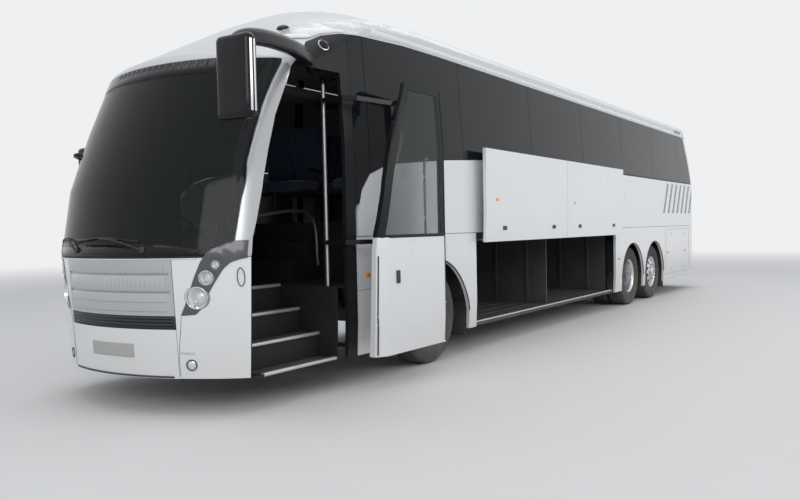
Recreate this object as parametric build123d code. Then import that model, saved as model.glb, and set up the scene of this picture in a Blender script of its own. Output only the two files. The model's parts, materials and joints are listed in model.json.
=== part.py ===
from build123d import *
import math
import os

os.makedirs("parts", exist_ok=True)

# Sizes in millimetres. Front towards -Y, door side +X, ground at z 0
half_width = 1250.0
front_y = -7420.0
rear_y = 7530.0
skirt_z = 290.0
roof_z = 3740.0
nose_radius = 1850.0
nose_corner = 343.0
tail_radius = 7000.0
tail_corner = 260.0
side_reach = 1400.0
panel_t = 40.0
glass_t = 10.0
shut = 6.0
tyre_radius = 520.0
tyre_width = 298.0
rim_radius = 292.0
wheel_x = 1045.0
twin_pitch = 330.0
front_axle_y = -4200.0
drive_axle_y = 2840.0
tag_axle_y = 4240.0
kingpin_x = 850.0
moulding_z = 1398.0
cantrail_z = 3325.0
floor_z = 1550.0
cab_floor_z = 950.0
bay_floor_z = 330.0
bay_front_y = -3250.0
bay_split_y = -700.0
bay_rear_y = 1850.0
doorway_rear_y = -5765.0
door_shift_x = 320.0
door_shift_y = 1250.0
door_arm = 710.0
flap_rise = 990.0
flap_out = 140.0
seat_pitch = 790.0
frame_t = 45.0
running = 0.3

plan_half = half_width + 5.0
end_reach = 16500.0
prism_back = 4500.0
prism_length = 21000.0

# Body form: prisms leaning along each line of the nose, the tail and the roof, all crossed
# Columns: height, set back from the front end
NOSE = [(100, 65), (1300, 0), (1850, 105), (2400, 335), (2950, 600), (3900, 1380)]
# Columns: height, set forward from the rear end
TAIL = [(100, 33), (1300, 0), (2400, 30), (2950, 260), (3900, 865)]
# Columns: distance behind the nose, drop below the roof line
CROWN = [(-480, 1281), (1720, 225), (2120, 60), (3120, 0), (15600, 0)]


def box(x0, x1, y0, y1, z0, z1):
    centre = Pos((x0 + x1) / 2, (y0 + y1) / 2, (z0 + z1) / 2)
    return centre * Box(abs(x1 - x0), abs(y1 - y0), abs(z1 - z0))


def rod(start, end, radius, sides=0):
    a = Vector(*start)
    b = Vector(*end)
    length = (b - a).length
    plane = Plane(origin=a, z_dir=(b - a))
    section = RegularPolygon(radius, sides) if sides else Circle(radius)
    return extrude(plane * section, length)


def side_prism(points, x0, x1):
    face = Plane.YZ.offset(x0) * make_face(Polyline(*points, close=True))
    return extrude(face, amount=x1 - x0, dir=(1, 0, 0))


def front_prism(points, y0, y1):
    face = Plane.XZ.offset(-y0) * make_face(Polyline(*points, close=True))
    return extrude(face, amount=y1 - y0, dir=(0, 1, 0))


def bent_bar(path, wide, high):
    shape = None
    for start, end in zip(path, path[1:]):
        run = (Vector(*end) - Vector(*start)).normalized()
        across = Vector(0, 0, 1).cross(run)
        plane = Plane(origin=Vector(*start) - run * wide / 4, x_dir=across, z_dir=run)
        length = (Vector(*end) - Vector(*start)).length + wide / 2
        piece = extrude(plane * Rectangle(wide, high), length)
        shape = piece if shape is None else shape + piece
    return shape


def flat_arm(path, half, eye, bore, plane, depth):
    sketch = None
    for (ax, ay), (bx, by) in zip(path, path[1:]):
        length = math.hypot(bx - ax, by - ay)
        angle = math.degrees(math.atan2(by - ay, bx - ax))
        bar = Pos((ax + bx) / 2, (ay + by) / 2) * Rot(0, 0, angle) * Rectangle(length + half, 2 * half)
        sketch = bar if sketch is None else sketch + bar
    end = Pos(*path[-1])
    sketch = sketch + end * RegularPolygon(eye, 12) - end * Circle(bore)
    return extrude(plane * sketch, amount=depth)


def mirrored(shape):
    return mirror(shape, about=Plane.YZ)


def both(shape):
    return [shape, mirrored(shape)]


def solids_of(items):
    found = []
    for item in items:
        found.extend(item.solids())
    return found


def save(name, items):
    kept = solids_of(items)
    kept = [solid for solid in kept if solid.volume > 500]
    shape = kept[0] if len(kept) == 1 else Compound(children=kept)
    shape.label = name
    export_step(shape, "parts/" + name + ".step")


def face_between(right, top):
    edges = []
    for kind, *points in right:
        edges.append(ThreePointArc(*points) if kind == "arc" else Line(*points))
        flipped = [(-x, y) for x, y in reversed(points)]
        edges.append(ThreePointArc(*flipped) if kind == "arc" else Line(*flipped))
    low = right[-1][-1]
    t = right[0][1]
    edges.append(ThreePointArc((-t[0], t[1]), top, t))
    edges.append(Line(low, (-low[0], low[1])))
    return make_face(edges)


def end_face(radius, corner, sign, inset):
    w = plan_half - inset
    angle = math.asin((plan_half - corner) / (radius - corner))
    middle = (angle + math.pi / 2) / 2
    r = radius - inset
    c = corner - inset
    dy = (radius - corner) * math.cos(angle) - radius
    points = [
        (r * math.sin(angle), r * math.cos(angle) - radius),
        (plan_half - corner + c * math.sin(middle), dy + c * math.cos(middle)),
        (w, dy),
        (w + 20, dy - 400),
        (w + 20, -end_reach),
    ]
    t, m, side, swell, low = [(x, sign * y) for x, y in points]
    right = [("arc", t, m, side), ("line", side, swell), ("line", swell, low)]
    return face_between(right, (0, -sign * inset))


def crown_face(inset):
    s = (half_width - 56 - inset, -391 - 0.25 * inset)
    t = (half_width - 187 - 0.75 * inset, -184 - 0.7 * inset)
    bulge = 0.146
    m = ((s[0] + t[0]) / 2 + bulge * (t[1] - s[1]), (s[1] + t[1]) / 2 - bulge * (t[0] - s[0]))
    low = (s[0] + 1600, s[1] - 10000)
    return face_between([("arc", t, m, s), ("line", s, low)], (0, -inset))


def leaning_prism(face, start, end, x_dir):
    run = (Vector(0, *end) - Vector(0, *start)).normalized()
    plane = Plane(origin=Vector(0, *start) - run * prism_back, x_dir=x_dir, z_dir=run)
    return extrude(plane * face, prism_length)


def crossed(shapes):
    form = shapes[0]
    for shape in shapes[1:]:
        form = form & shape
    return form


def end_form(rows, radius, corner, y, sign, inset):
    prisms = []
    for (z0, back0), (z1, back1) in zip(rows, rows[1:]):
        lean = (z1 - z0) / math.hypot(z1 - z0, back1 - back0)
        face = end_face(radius / lean, corner / math.sqrt(lean), sign, inset)
        prisms.append(leaning_prism(face, (y - sign * back0, z0), (y - sign * back1, z1), (1, 0, 0)))
    return crossed(prisms)


def crown_form(inset):
    rows = [(front_y + back, roof_z - drop) for back, drop in CROWN]
    return crossed([leaning_prism(crown_face(inset), a, b, (-1, 0, 0)) for a, b in zip(rows, rows[1:])])


def side_form(inset, bottom):
    w = half_width - inset
    right = [(w - 15, bottom), (w, 600), (w, 2300), (w - 95, 3700), (w - 95, 4000)]
    left = [(-x, z) for x, z in reversed(right)]
    return front_prism(right + left, -9000, 9000)


def body_form(inset, bottom):
    nose = end_form(NOSE, nose_radius, nose_corner, front_y, -1, inset)
    tail = end_form(TAIL, tail_radius, tail_corner, rear_y, 1, inset)
    return crossed([side_form(inset, bottom), nose, tail, crown_form(inset)])


outer_form = body_form(0, skirt_z)
glass_form = body_form(glass_t, skirt_z - 60)
inner_form = body_form(panel_t, skirt_z - 90)
frame_form = body_form(panel_t + frame_t, skirt_z - 120)
skin = outer_form - inner_form
glass_skin = outer_form - glass_form
flange_skin = glass_form - inner_form
frame_skin = inner_form - frame_form

# Border curves on the side, as distance along and height
PILLAR_REAR = [
    (-6950, 1270),
    (-6927, 1422),
    (-6887, 1556),
    (-6805, 1875),
    (-6725, 2119),
    (-6618, 2410),
    (-6499, 2645),
    (-6390, 2842),
]
PILLAR_FRONT = [
    (-7060, 1270),
    (-7031, 1417),
    (-6964, 1715),
    (-6872, 2034),
    (-6771, 2280),
    (-6680, 2490),
    (-6564, 2708),
    (-6445, 2907),
]
ROOF_EDGE = [
    (-6390, 2842),
    (-6076, 3115),
    (-5876, 3205),
    (-5654, 3256),
    (-5405, 3276),
    (-4660, 3316),
    (-4000, cantrail_z),
]
WAIST_EDGE = [
    (-5555, 1700),
    (-5514, 1830),
    (-5379, 1985),
    (-5123, 2074),
    (-4855, 2118),
    (-3908, 2205),
    (-2862, 2268),
    (-1500, 2310),
    (-500, 2320),
]
far = 8200.0
tail_split_y = 7200.0
waist_z = 2320.0
TAIL_EDGE = [(tail_split_y, 2150.0), (7110.0, 2550.0), (6940.0, 2950.0), (6715.0, cantrail_z)]
windscreen_top_z = 2965.0
front_band_z = 1270.0
door_top_z = 2860.0
jamb_y = -5622.0
jamb_top_z = 3258.0
arch_spring_z = tyre_radius - 15
PANE_JOINTS = [-5380.0, -3530.0, -1600.0, 350.0, 2300.0, 4200.0, 6100.0]


def shrunk(points, by):
    face = make_face(Polyline(*points, close=True))
    if by == 0:
        return face
    return offset(face, amount=-by, kind=Kind.INTERSECTION)


def panel(source, points, x0, x1, by=shut / 2):
    face = Plane.YZ.offset(x0) * shrunk(points, by)
    return source & extrude(face, amount=x1 - x0, dir=(1, 0, 0))


def arch_prism(centre_y, half, top):
    rise = top - arch_spring_z
    radius = (half ** 2 + rise ** 2) / (2 * rise)
    wheel = Plane.YZ.offset(-side_reach) * Pos(centre_y, top - radius) * Circle(radius)
    arch = extrude(wheel, amount=2 * side_reach, dir=(1, 0, 0))
    low = box(-side_reach, side_reach, centre_y - half, centre_y + half, -200, arch_spring_z)
    upper = box(-side_reach, side_reach, centre_y - 2000, centre_y + 2000, arch_spring_z, 3000)
    return (arch & upper) + low


# Columns: axle position, half opening, top of the arch
ARCHES = [
    (front_axle_y, 766.0, 1127.0),
    (drive_axle_y, 640.0, 1107.0),
    (tag_axle_y, 640.0, 1107.0),
]
arches = [arch_prism(y, half, top) for y, half, top in ARCHES]

# Roof with its cantrail, windscreen and pillars
roof_points = [(-far, windscreen_top_z), (-6445, 2907)] + ROOF_EDGE
roof_points += [(far, cantrail_z), (far, 4300), (-far, 4300)]
roof_shell = panel(skin, roof_points, -side_reach, side_reach)
save("roof_shell", [roof_shell])
screen_points = [(-far, front_band_z)] + PILLAR_FRONT + [(-far, windscreen_top_z)]
save("windscreen", [panel(glass_skin, screen_points, -side_reach, side_reach)])
pillar_points = PILLAR_FRONT + list(reversed(PILLAR_REAR))
save("pillars", both(panel(skin, pillar_points, 900, side_reach)))
seat_lap = 1.0
seat_width = 55.0
seat_outer = panel(flange_skin, screen_points, -side_reach, side_reach, -seat_lap)
screen_seat = seat_outer - panel(flange_skin, screen_points, -side_reach, side_reach, seat_width)
save("windscreen_seat", [screen_seat])

# Entrance door frame: rear jamb and header
header_z = door_top_z + 15
frame_points = [
    (doorway_rear_y, skirt_z),
    (jamb_y, skirt_z),
    (jamb_y, jamb_top_z),
    (-5654, 3256),
    (-5876, 3205),
    (-6076, 3115),
    (-6340, header_z),
    (doorway_rear_y, header_z),
]
door_frame = panel(skin, frame_points, 900, side_reach, 0.0)

# Side glass and the window posts behind it
tail_glass = [(7165.0, waist_z)] + TAIL_EDGE[1:]
glass_top = [point for point in ROOF_EDGE if point[0] > jamb_y]
near_glass = [(jamb_y, 1700)] + WAIST_EDGE + tail_glass
near_glass += list(reversed(glass_top)) + [(jamb_y, jamb_top_z)]
off_glass = [(-6927, 1422), (-5590, 1410), (-5586, 1597)] + WAIST_EDGE + tail_glass
off_glass += list(reversed(ROOF_EDGE)) + list(reversed(PILLAR_REAR[2:]))[1:]
near_panes = panel(glass_skin, near_glass, 900, side_reach)
off_panes = panel(glass_skin, off_glass, -side_reach, -900)
near_seat = panel(flange_skin, near_glass, 900, side_reach, -seat_lap)
off_seat = panel(flange_skin, off_glass, -side_reach, -900, -seat_lap)
pane_gap = 8.0
window_post = 90.0
hoops = []
for joint_y in PANE_JOINTS + [jamb_y]:
    strip = box(-side_reach, side_reach, joint_y - pane_gap / 2, joint_y + pane_gap / 2, 1350, 3500)
    near_panes = near_panes - strip
    off_panes = off_panes - strip
    post = box(-side_reach, side_reach, joint_y - window_post / 2, joint_y + window_post / 2, 1350, 3500)
    hoops.append(off_seat & post)
    if joint_y > jamb_y:
        hoops.append(near_seat & post)
save("side_glass", [near_panes, off_panes])
save("window_posts", hoops)

# Side panels below and above the moulding line, and the service flap
near_low_y = jamb_y + shut / 2
near_low = [(near_low_y, skirt_z), (bay_front_y, skirt_z), (bay_front_y, moulding_z), (near_low_y, moulding_z)]
off_low = [(-6948, skirt_z), (bay_front_y, skirt_z), (bay_front_y, moulding_z)]
off_low += [(-6931, moulding_z), (-6950, front_band_z)]
rear_low = [(bay_rear_y, skirt_z), (tail_split_y, skirt_z)]
rear_low += [(tail_split_y, moulding_z), (bay_rear_y, moulding_z)]
flap_y0 = jamb_y + shut
flap_y1 = -5020.0
flap_z1 = 900.0
near_front = panel(skin, near_low, 1100, side_reach) - arches[0]
near_front = near_front - box(1100, side_reach, jamb_y - 20, flap_y1, 0, flap_z1)
off_front = panel(skin, off_low, -side_reach, -1100) - arches[0]
near_rear = panel(skin, rear_low, 1100, side_reach) - arches[1] - arches[2]
save("side_panels", [near_front, off_front, near_rear, mirrored(near_rear)])
flap_hinge_x = 1186.0
flap_hinge_z = 303.0
flap_pin_r = 6.0
service_flap = skin & box(1100, side_reach, flap_y0, flap_y1 - 4, skirt_z + 2, flap_z1 - 4)
for y in (flap_y0 + 2, flap_y1 - 40):
    ear = box(flap_hinge_x, flap_hinge_x + 18, y, y + 24, flap_hinge_z - flap_pin_r, flap_hinge_z + flap_pin_r)
    service_flap = service_flap + (ear & inner_form)
flap_pin_y0 = flap_y0 - 3
flap_pin_y1 = flap_y1 - 16
flap_pin_start = (flap_hinge_x, flap_pin_y0, flap_hinge_z)
service_flap = service_flap + rod(flap_pin_start, (flap_hinge_x, flap_pin_y1, flap_hinge_z), flap_pin_r)
save("service_flap", [service_flap])
waist_tail = [(7165.0, waist_z), (tail_split_y, 2150.0), (tail_split_y, moulding_z)]
waist = panel(skin, [(-5594, moulding_z), (-5586, 1597)] + WAIST_EDGE + waist_tail, 1000, side_reach)
off_waist = [(-6927, moulding_z), (-6927, 1422), (-5590, 1410), (-5586, 1597)] + WAIST_EDGE + waist_tail
save("waist_panels", [waist, panel(skin, off_waist, -side_reach, -1000)])

# Bearings of the entrance door post and of the service flap, on the jamb
hinge_shut = (1135.0, -6450.0)
hinge_open = (hinge_shut[0] + door_shift_x, hinge_shut[1] + door_shift_y)
chord = math.hypot(door_shift_x, door_shift_y)
chord_height = math.sqrt(door_arm ** 2 - (chord / 2) ** 2)
post_x = (hinge_open[0] + hinge_shut[0]) / 2 - chord_height * door_shift_y / chord
post_y = (hinge_open[1] + hinge_shut[1]) / 2 + chord_height * door_shift_x / chord
post_z0 = 420.0
post_z1 = 2835.0
for z0, z1 in ((post_z0 - 30, post_z0 - running), (post_z1 + running, post_z1 + 30)):
    door_frame = door_frame + (box(post_x - 30, 1300, -5763, -5700, z0, z1) & inner_form)
    door_frame = door_frame + (box(post_x - 30, 1150, -5780, -5700, z0, z1) & inner_form)
flap_bearing_x = flap_hinge_x - 21
flap_bearing = box(flap_bearing_x, 1300, jamb_y - 60, flap_pin_y0 - running, flap_hinge_z - 12, flap_hinge_z + 12)
door_frame = door_frame + (flap_bearing & inner_form)
save("door_frame", [door_frame])

# Front mask: bumper, grille panel with its grooves, and lamp corners
mask_x = 660.0
bumper_low_z = skirt_z + 10
bumper_top_z = 696.0
grille_low_z = 806.0
mask_back_y = -6500.0
bumper = skin & box(-mask_x, mask_x, -far, mask_back_y, bumper_low_z, bumper_top_z)
grille = skin & box(-mask_x, mask_x, -far, mask_back_y, grille_low_z, front_band_z - shut / 2)
GRILLE_GROOVES = [995.0, 1140.0]
groove_half = 14.0
for groove_z in GRILLE_GROOVES:
    groove = box(-mask_x + 20, mask_x - 20, -far, mask_back_y, groove_z - groove_half, groove_z + groove_half)
    grille = grille - (glass_skin & groove)
save("front_bumper", [bumper])
save("grille_panel", [grille])
corner_y = -6951.0
corner_points = [(-far, bumper_low_z), (corner_y, bumper_low_z), (corner_y, front_band_z), (-far, front_band_z)]
corner = panel(skin, corner_points, mask_x + shut, side_reach)
# Columns: lamp place across, height, radius
LAMPS = [(841.0, 951.0, 95.0), (916.0, 1110.0, 62.0), (985.0, 1212.0, 38.0)]
lamps = []
for lamp_x, lamp_z, lamp_r in LAMPS:
    bar = rod((lamp_x, -7500, lamp_z), (lamp_x, -6900, lamp_z), lamp_r, 24)
    corner = corner - bar
    lamps += both(skin & bar)
save("front_corners", both(corner))
save("headlamps", lamps)

# Rear panels, engine lid, tail lamps and rear window
engine_door_half = 800.0
engine_low_z = 640.0
engine_top_z = 1800.0
window_half = 950.0
window_low_z = 2360.0
window_top_z = 3120.0
rear_points = [(tail_split_y, 0), (far, 0), (far, cantrail_z)] + list(reversed(TAIL_EDGE))
rear_skin = panel(skin, rear_points, -side_reach, side_reach)
rear_low_panel = rear_skin & box(-side_reach, side_reach, 6000, far, 0, engine_low_z - shut)
rear_corner = rear_skin & box(engine_door_half + shut, side_reach, 6000, far, engine_low_z, engine_top_z)
lamp_zone = box(985, 1125, 6000, far, 880, 1460)
tails = rear_corner & lamp_zone
rear_corner = rear_corner - lamp_zone
rear_upper = rear_skin & box(-side_reach, side_reach, 6000, far, engine_top_z + 9, 3400)
window_hole = box(-window_half, window_half, 6500, far, window_low_z, window_top_z)
rear_glass = box(-window_half + shut, window_half - shut, 6500, far, window_low_z + shut, window_top_z - shut)
ledge = 50.0
mouth_half = window_half - ledge
window_mouth = box(-mouth_half, mouth_half, 6500, far, window_low_z + ledge, window_top_z - ledge)
rear_upper = rear_upper - window_hole
save("tail_lamps", both(tails))
save("rear_window", [glass_skin & rear_glass])
rear_seat = (flange_skin & window_hole) - window_mouth
lid_axis_y = rear_y + 5
lid_axis_z = engine_top_z + 12
HINGE_X = [-520.0, 520.0]
knuckle_half = 40.0
hinge_pin_r = 8.0
hinge_root_y = rear_y - 40
lid = skin & box(-engine_door_half, engine_door_half, 7000, far, engine_low_z, engine_top_z)
for hinge_x in HINGE_X:
    x0 = hinge_x - knuckle_half
    x1 = hinge_x + knuckle_half
    upper_leaf = box(x0, x1, hinge_root_y, lid_axis_y, lid_axis_z, lid_axis_z + 40)
    upper_leaf = upper_leaf + rod((x0, lid_axis_y, lid_axis_z), (x1, lid_axis_y, lid_axis_z), hinge_pin_r)
    rear_upper = rear_upper + upper_leaf
    for a, b in ((x0 - 50, x0 - running), (x1 + running, x1 + 50)):
        lower_leaf = box(a, b, hinge_root_y, lid_axis_y, lid_axis_z - 50, lid_axis_z - 6)
        lower_leaf = lower_leaf + rod((a, lid_axis_y, lid_axis_z), (b, lid_axis_y, lid_axis_z), hinge_pin_r, 12)
        lid = lid + lower_leaf
save("rear_panels", [rear_low_panel, rear_corner, mirrored(rear_corner), rear_upper, rear_seat])
save("engine_door", [lid])

# Body frame behind the panels: hoops, jamb posts, front and rear cross strips
deck_low_z = floor_z - 60
hoop_top_z = 3400.0
hoop_half = 30.0
HOOPS = [-4880.0] + PANE_JOINTS[1:]
ribs = []
for y in HOOPS:
    ribs.append(frame_skin & box(-side_reach, side_reach, y - hoop_half, y + hoop_half, floor_z, hoop_top_z))
jamb_rib = frame_skin & box(900, side_reach, jamb_y - 70, jamb_y + 60, cab_floor_z, 3330)
jamb_rib = jamb_rib - box(900, side_reach, -5800, jamb_y, post_z1 - 20, post_z1 + 60)
ribs += [jamb_rib, frame_skin & box(-side_reach, -900, jamb_y - 70, jamb_y + 60, cab_floor_z, 3330)]
FRONT_POSTS = [mask_x + shut / 2, 0.0, -mask_x - shut / 2]
# Columns: bottom and top of the cross strips behind the mask
FRONT_STRIPS = [(1235.0, 1330.0), (690.0, 812.0)]
front_net = [frame_skin & box(x - 40, x + 40, -far, -6800, 330, FRONT_STRIPS[0][1]) for x in FRONT_POSTS]
for z0, z1 in FRONT_STRIPS:
    front_net.append(frame_skin & box(-half_width, half_width, -far, -6960, z0, z1))
front_ring = front_net[0]
for piece in front_net[1:]:
    front_ring = front_ring + piece
ribs.append(front_ring)
rear_ring = frame_skin & box(-side_reach, side_reach, 7150, 7260, 340, 2100)
ribs.append(rear_ring)
ribs.append(frame_skin & box(-side_reach, side_reach, 6500, far, 3270, 3380))
ribs.append(frame_skin & box(-side_reach, side_reach, 7262, far, 560, 700))
save("body_ribs", ribs)

# Load bay tub, bulkheads, sills and floors
tub_x = 1185.0
tub = box(-tub_x, tub_x, bay_front_y - 40, bay_rear_y + 40, bay_floor_z - 40, bay_floor_z)
for wall_y in (bay_front_y - 25, bay_split_y, bay_rear_y + 25):
    tub = tub + box(-1050, 1050, wall_y - 15, wall_y + 15, bay_floor_z, deck_low_z - 80)
save("bay_tub", [tub])
sills = [box(1120, tub_x + 2, bay_front_y + 5, bay_rear_y - 5, bay_floor_z, bay_floor_z + 16)]
save("bay_sills", both(sills[0]))
deck = box(-1125, 1125, -4900, tail_split_y - 60, deck_low_z, floor_z)
save("floor_deck", [deck])

# Chassis rails, cross members, bay header rails and engine carrier
rail_in = 400.0
rail_out = 462.0
beam_z0 = deck_low_z - 80
front_posts = (-4860.0, bay_front_y - 80)
rear_posts = (bay_rear_y + 80, 5000.0, 7100.0)
front_mounts = (-4700.0, -3700.0)
rear_mounts = (2300.0, 3540.0, 4780.0)
front_members = (-6600.0, -5000.0, -3330.0)
rear_members = (1950.0, 4990.0, 7110.0)
# Columns: rail bottom, ends of the rails, posts, spring mounts and their bottom, cross members
RAIL_SETS = [
    (560.0, -7150.0, bay_front_y - 40, front_posts, front_mounts, 660.0, front_members),
    (700.0, bay_rear_y + 40, 7160.0, rear_posts, rear_mounts, 760.0, rear_members),
]
rail_h = 160.0
member_half = 40.0
mount_out = 510.0
carriers = []
for z0, y0, y1, posts, spring_mounts, mount_z, cross_members in RAIL_SETS:
    members = []
    for y in cross_members:
        members.append(box(-rail_in, rail_in, y - member_half, y + member_half, z0 + 20, z0 + rail_h - 20))
    carrier = members[0] + members[1:]
    for side in (-1, 1):
        near_x = side * rail_in
        far_x = side * rail_out
        carrier = carrier + box(near_x, far_x, y0, y1, z0, z0 + rail_h)
        for y in posts:
            carrier = carrier + box(near_x, far_x, y - member_half, y + member_half, z0 + rail_h, beam_z0)
        for y in spring_mounts:
            carrier = carrier + box(far_x, side * mount_out, y - 30, y + 30, mount_z, mount_z + 60)
    carriers.append(carrier)
nose_half = mask_x + 45
nose_beam = box(-nose_half, nose_half, -7280, -7130, 580, 720) & frame_form
pin_r = 20.5
pin_y = -7090.0
bracket_half = 60.0
bracket = box(-bracket_half, bracket_half, pin_y - bracket_half, pin_y + bracket_half, 420, 580)
bracket = bracket - Pos(0, pin_y, 500) * Cylinder(pin_r, 200)
carriers[0] = carriers[0] + nose_beam + bracket
beam_half = 1130.0
edge_in = 1125.0
edge_z0 = 1345.0
cab_edge_y = -4900.0
# Columns: ends along the coach, outer face
EDGE_RAILS = [
    (cab_edge_y, bay_front_y - 10, 1205.0),
    (bay_front_y - 10, bay_rear_y + 10, 1198.0),
    (bay_rear_y + 10, 7150.0, 1205.0),
]
header = box(-beam_half, beam_half, cab_edge_y, cab_edge_y + 80, beam_z0, deck_low_z)
for y in (bay_front_y - 80, bay_split_y, *rear_posts):
    header = header + box(-beam_half, beam_half, y - member_half, y + member_half, beam_z0, deck_low_z)
for side in (-1, 1):
    for y0, y1, edge_out in EDGE_RAILS:
        header = header + box(side * edge_in, side * edge_out, y0, y1, edge_z0, floor_z)
    for y0, y1 in ((bay_front_y, bay_split_y), (bay_split_y, bay_rear_y)):
        for plate_y in (y0 + 57, y1 - 57):
            header = header + box(side * 1065, side * 1160, plate_y - 10, plate_y + 10, edge_z0 - 49, edge_z0)
save("chassis_frame", carriers + [header])
save("engine_block", [box(-rail_in, rail_in, 5030, 7070, 480, 1340)])

# Stairwell, cab floor and steps up to the saloon
NOSINGS = [(1165.0, 300.0), (950.0, 517.0), (720.0, 734.0), (490.0, cab_floor_z)]
plate = 25.0
profile = [(NOSINGS[0][0], NOSINGS[0][1] - plate), NOSINGS[0]]
for (x0, z0), (x1, z1) in zip(NOSINGS, NOSINGS[1:]):
    profile += [(x1, z0), (x1, z1)]
profile += [(-1185.0, cab_floor_z), (-1185.0, cab_floor_z - plate)]
for (x0, z0), (x1, z1) in reversed(list(zip(NOSINGS, NOSINGS[1:]))):
    profile += [(x1 - plate, z1 - plate), (x1 - plate, z0 - plate)]
stair_y0 = -6885.0
stair_y1 = -5835.0
wall_t = 20.0
string_x = NOSINGS[-1][0] - plate
cab_end_y = cab_edge_y - 5
stair = front_prism(profile, stair_y0, stair_y1)
for y0 in (stair_y0 - wall_t, stair_y1):
    stair = stair + box(string_x, 1180, y0, y0 + wall_t, NOSINGS[0][1] - plate, cab_floor_z)
stair = stair + box(-1185, string_x, stair_y1, cab_end_y, cab_floor_z - plate, cab_floor_z)
stair = stair + box(string_x, 1160, -5690, cab_end_y, cab_floor_z - plate, cab_floor_z)
stair = stair + box(-1120, 1120, cab_end_y - wall_t, cab_end_y, cab_floor_z, floor_z)
rise = (floor_z - cab_floor_z) / 3
aisle_half = 300.0
for step in (1, 2):
    tread_y = cab_end_y - step * 260
    stair = stair + box(-aisle_half, aisle_half, tread_y, cab_end_y - wall_t, cab_floor_z, floor_z - step * rise)
save("entrance_steps", [stair & frame_form])

# Driver's desk with its column, steering wheel and seats
wheel_x0 = -600.0
wheel_y0 = -6150.0
wheel_z0 = 1560.0
rake = math.radians(35)
tip = (0.0, math.sin(rake), math.cos(rake))
desk_section = [(-6940, cab_floor_z), (-6620, cab_floor_z)]
desk_section += [(-6620, 1330), (-6480, 1400), (-6520, 1470), (-6940, 1400)]
desk = side_prism(desk_section, -1100, 380) & frame_form
column_end = (wheel_x0, wheel_y0 - 21 * tip[1], wheel_z0 - 21 * tip[2])
column = rod((wheel_x0, wheel_y0 - 800 * tip[1], wheel_z0 - 800 * tip[2]), column_end, 34, 12)
column = column - box(-1000, 0, -7000, -6000, 500, cab_floor_z)
save("dashboard", [desk, column])
wheel_place = Pos(wheel_x0, wheel_y0, wheel_z0) * Rot(-35, 0, 0)
handwheel = extrude(RegularPolygon(230, 32) - RegularPolygon(204, 32), 13, both=True)
handwheel = handwheel + Cylinder(40, 41.2)
for angle in (0, 120, 240):
    handwheel = handwheel + Rot(0, 0, angle) * Pos(110, 0, 0) * Box(205, 34, 12)
save("steering_wheel", [wheel_place * handwheel])


def seat(x, y, z, width):
    x0 = x - width / 2
    x1 = x + width / 2
    outline = [
        (y - 230, z + 360),
        (y - 230, z + 460),
        (y + 150, z + 440),
        (y + 300, z + 1130),
        (y + 370, z + 1130),
        (y + 250, z + 360),
    ]
    leg = box(x - 25, x + 25, y - 150, y + 150, z, z + 360)
    return side_prism(outline, x0, x1) + leg


SEAT_X = [-680.0, 680.0]
seat_rows = 14
first_seat_y = -4450.0
double_seat = 880.0
seats = []
for row in range(seat_rows):
    for seat_x in SEAT_X:
        seats.append(seat(seat_x, first_seat_y + row * seat_pitch, floor_z, double_seat))
save("seats", seats)
save("driver_seat", [seat(wheel_x0, -5560, cab_floor_z, 480)])
rack = [(700, 3130), (760, 3100), (1200, 3100), (1200, 3330), (1150, 3330)]
rack += [(1150, 3140), (770, 3140), (720, 3190), (700, 3180)]
rack_bar = front_prism(rack, -4850, 6400) & frame_form
save("parcel_racks", both(rack_bar))


# Wheel housings, axles, knuckles, bellows and wheels
def housing(centre_y, half):
    outer = box(mount_out, 1190, centre_y - half, centre_y + half, 640, housing_z)
    inner_half = half - housing_t
    hollow = box(mount_out + housing_t, 1190, centre_y - inner_half, centre_y + inner_half, 0, housing_z - housing_t)
    return outer - hollow


rear_centre_y = (drive_axle_y + tag_axle_y) / 2
housing_z = 1180.0
housing_t = 8.0
save("wheel_housings", both(housing(front_axle_y, 705)) + both(housing(rear_centre_y, 1340)))
stub_r = 60.0
hub_end = wheel_x + 147.0
kingpin_r = 22.0
front_beam = box(-780, 780, front_axle_y - 50, front_axle_y + 50, 410, 500)
for side in (-1, 1):
    front_beam = front_beam + box(side * 760, side * kingpin_x, front_axle_y - 30, front_axle_y + 30, 470, 570)
    front_beam = front_beam + Pos(side * kingpin_x, front_axle_y, tyre_radius) * Cylinder(50, 120)
    front_beam = front_beam - Pos(side * kingpin_x, front_axle_y, tyre_radius) * Cylinder(kingpin_r + running, 200)


def axle_tube(y, tube_end, stub_end):
    z = tyre_radius
    tube = rod((-tube_end, y, z), (tube_end, y, z), 78, 16)
    for side in (-1, 1):
        tube = tube + rod((side * (tube_end - 40), y, z), (side * stub_end, y, z), stub_r)
    return tube


case_r = 190.0
drive_beam = axle_tube(drive_axle_y, 700, 990)
drive_beam = drive_beam + rod((-case_r, drive_axle_y, tyre_radius), (case_r, drive_axle_y, tyre_radius), case_r, 16)
tag_beam = axle_tube(tag_axle_y, 880, hub_end)
bellows_x = 435.0
saddle_z = 605.0
for side in (-1, 1):
    x0 = side * (bellows_x - 40)
    x1 = side * (bellows_x + 40)
    drive_beam = drive_beam + box(x0, x1, drive_axle_y - 110, drive_axle_y + 110, 540, saddle_z)
    tag_beam = tag_beam + box(x0, x1, tag_axle_y - 110, tag_axle_y + 110, 540, saddle_z)
save("axle_beams", [front_beam, drive_beam, tag_beam])
bellows = []
for side in (-1, 1):
    for y, z0, z1 in ((front_axle_y, 500.0, 560.0), (drive_axle_y, saddle_z, 700.0), (tag_axle_y, saddle_z, 700.0)):
        bellows.append(Pos(side * bellows_x, y, z0) * extrude(RegularPolygon(68, 12), z1 - z0))
save("air_bellows", bellows)
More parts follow.
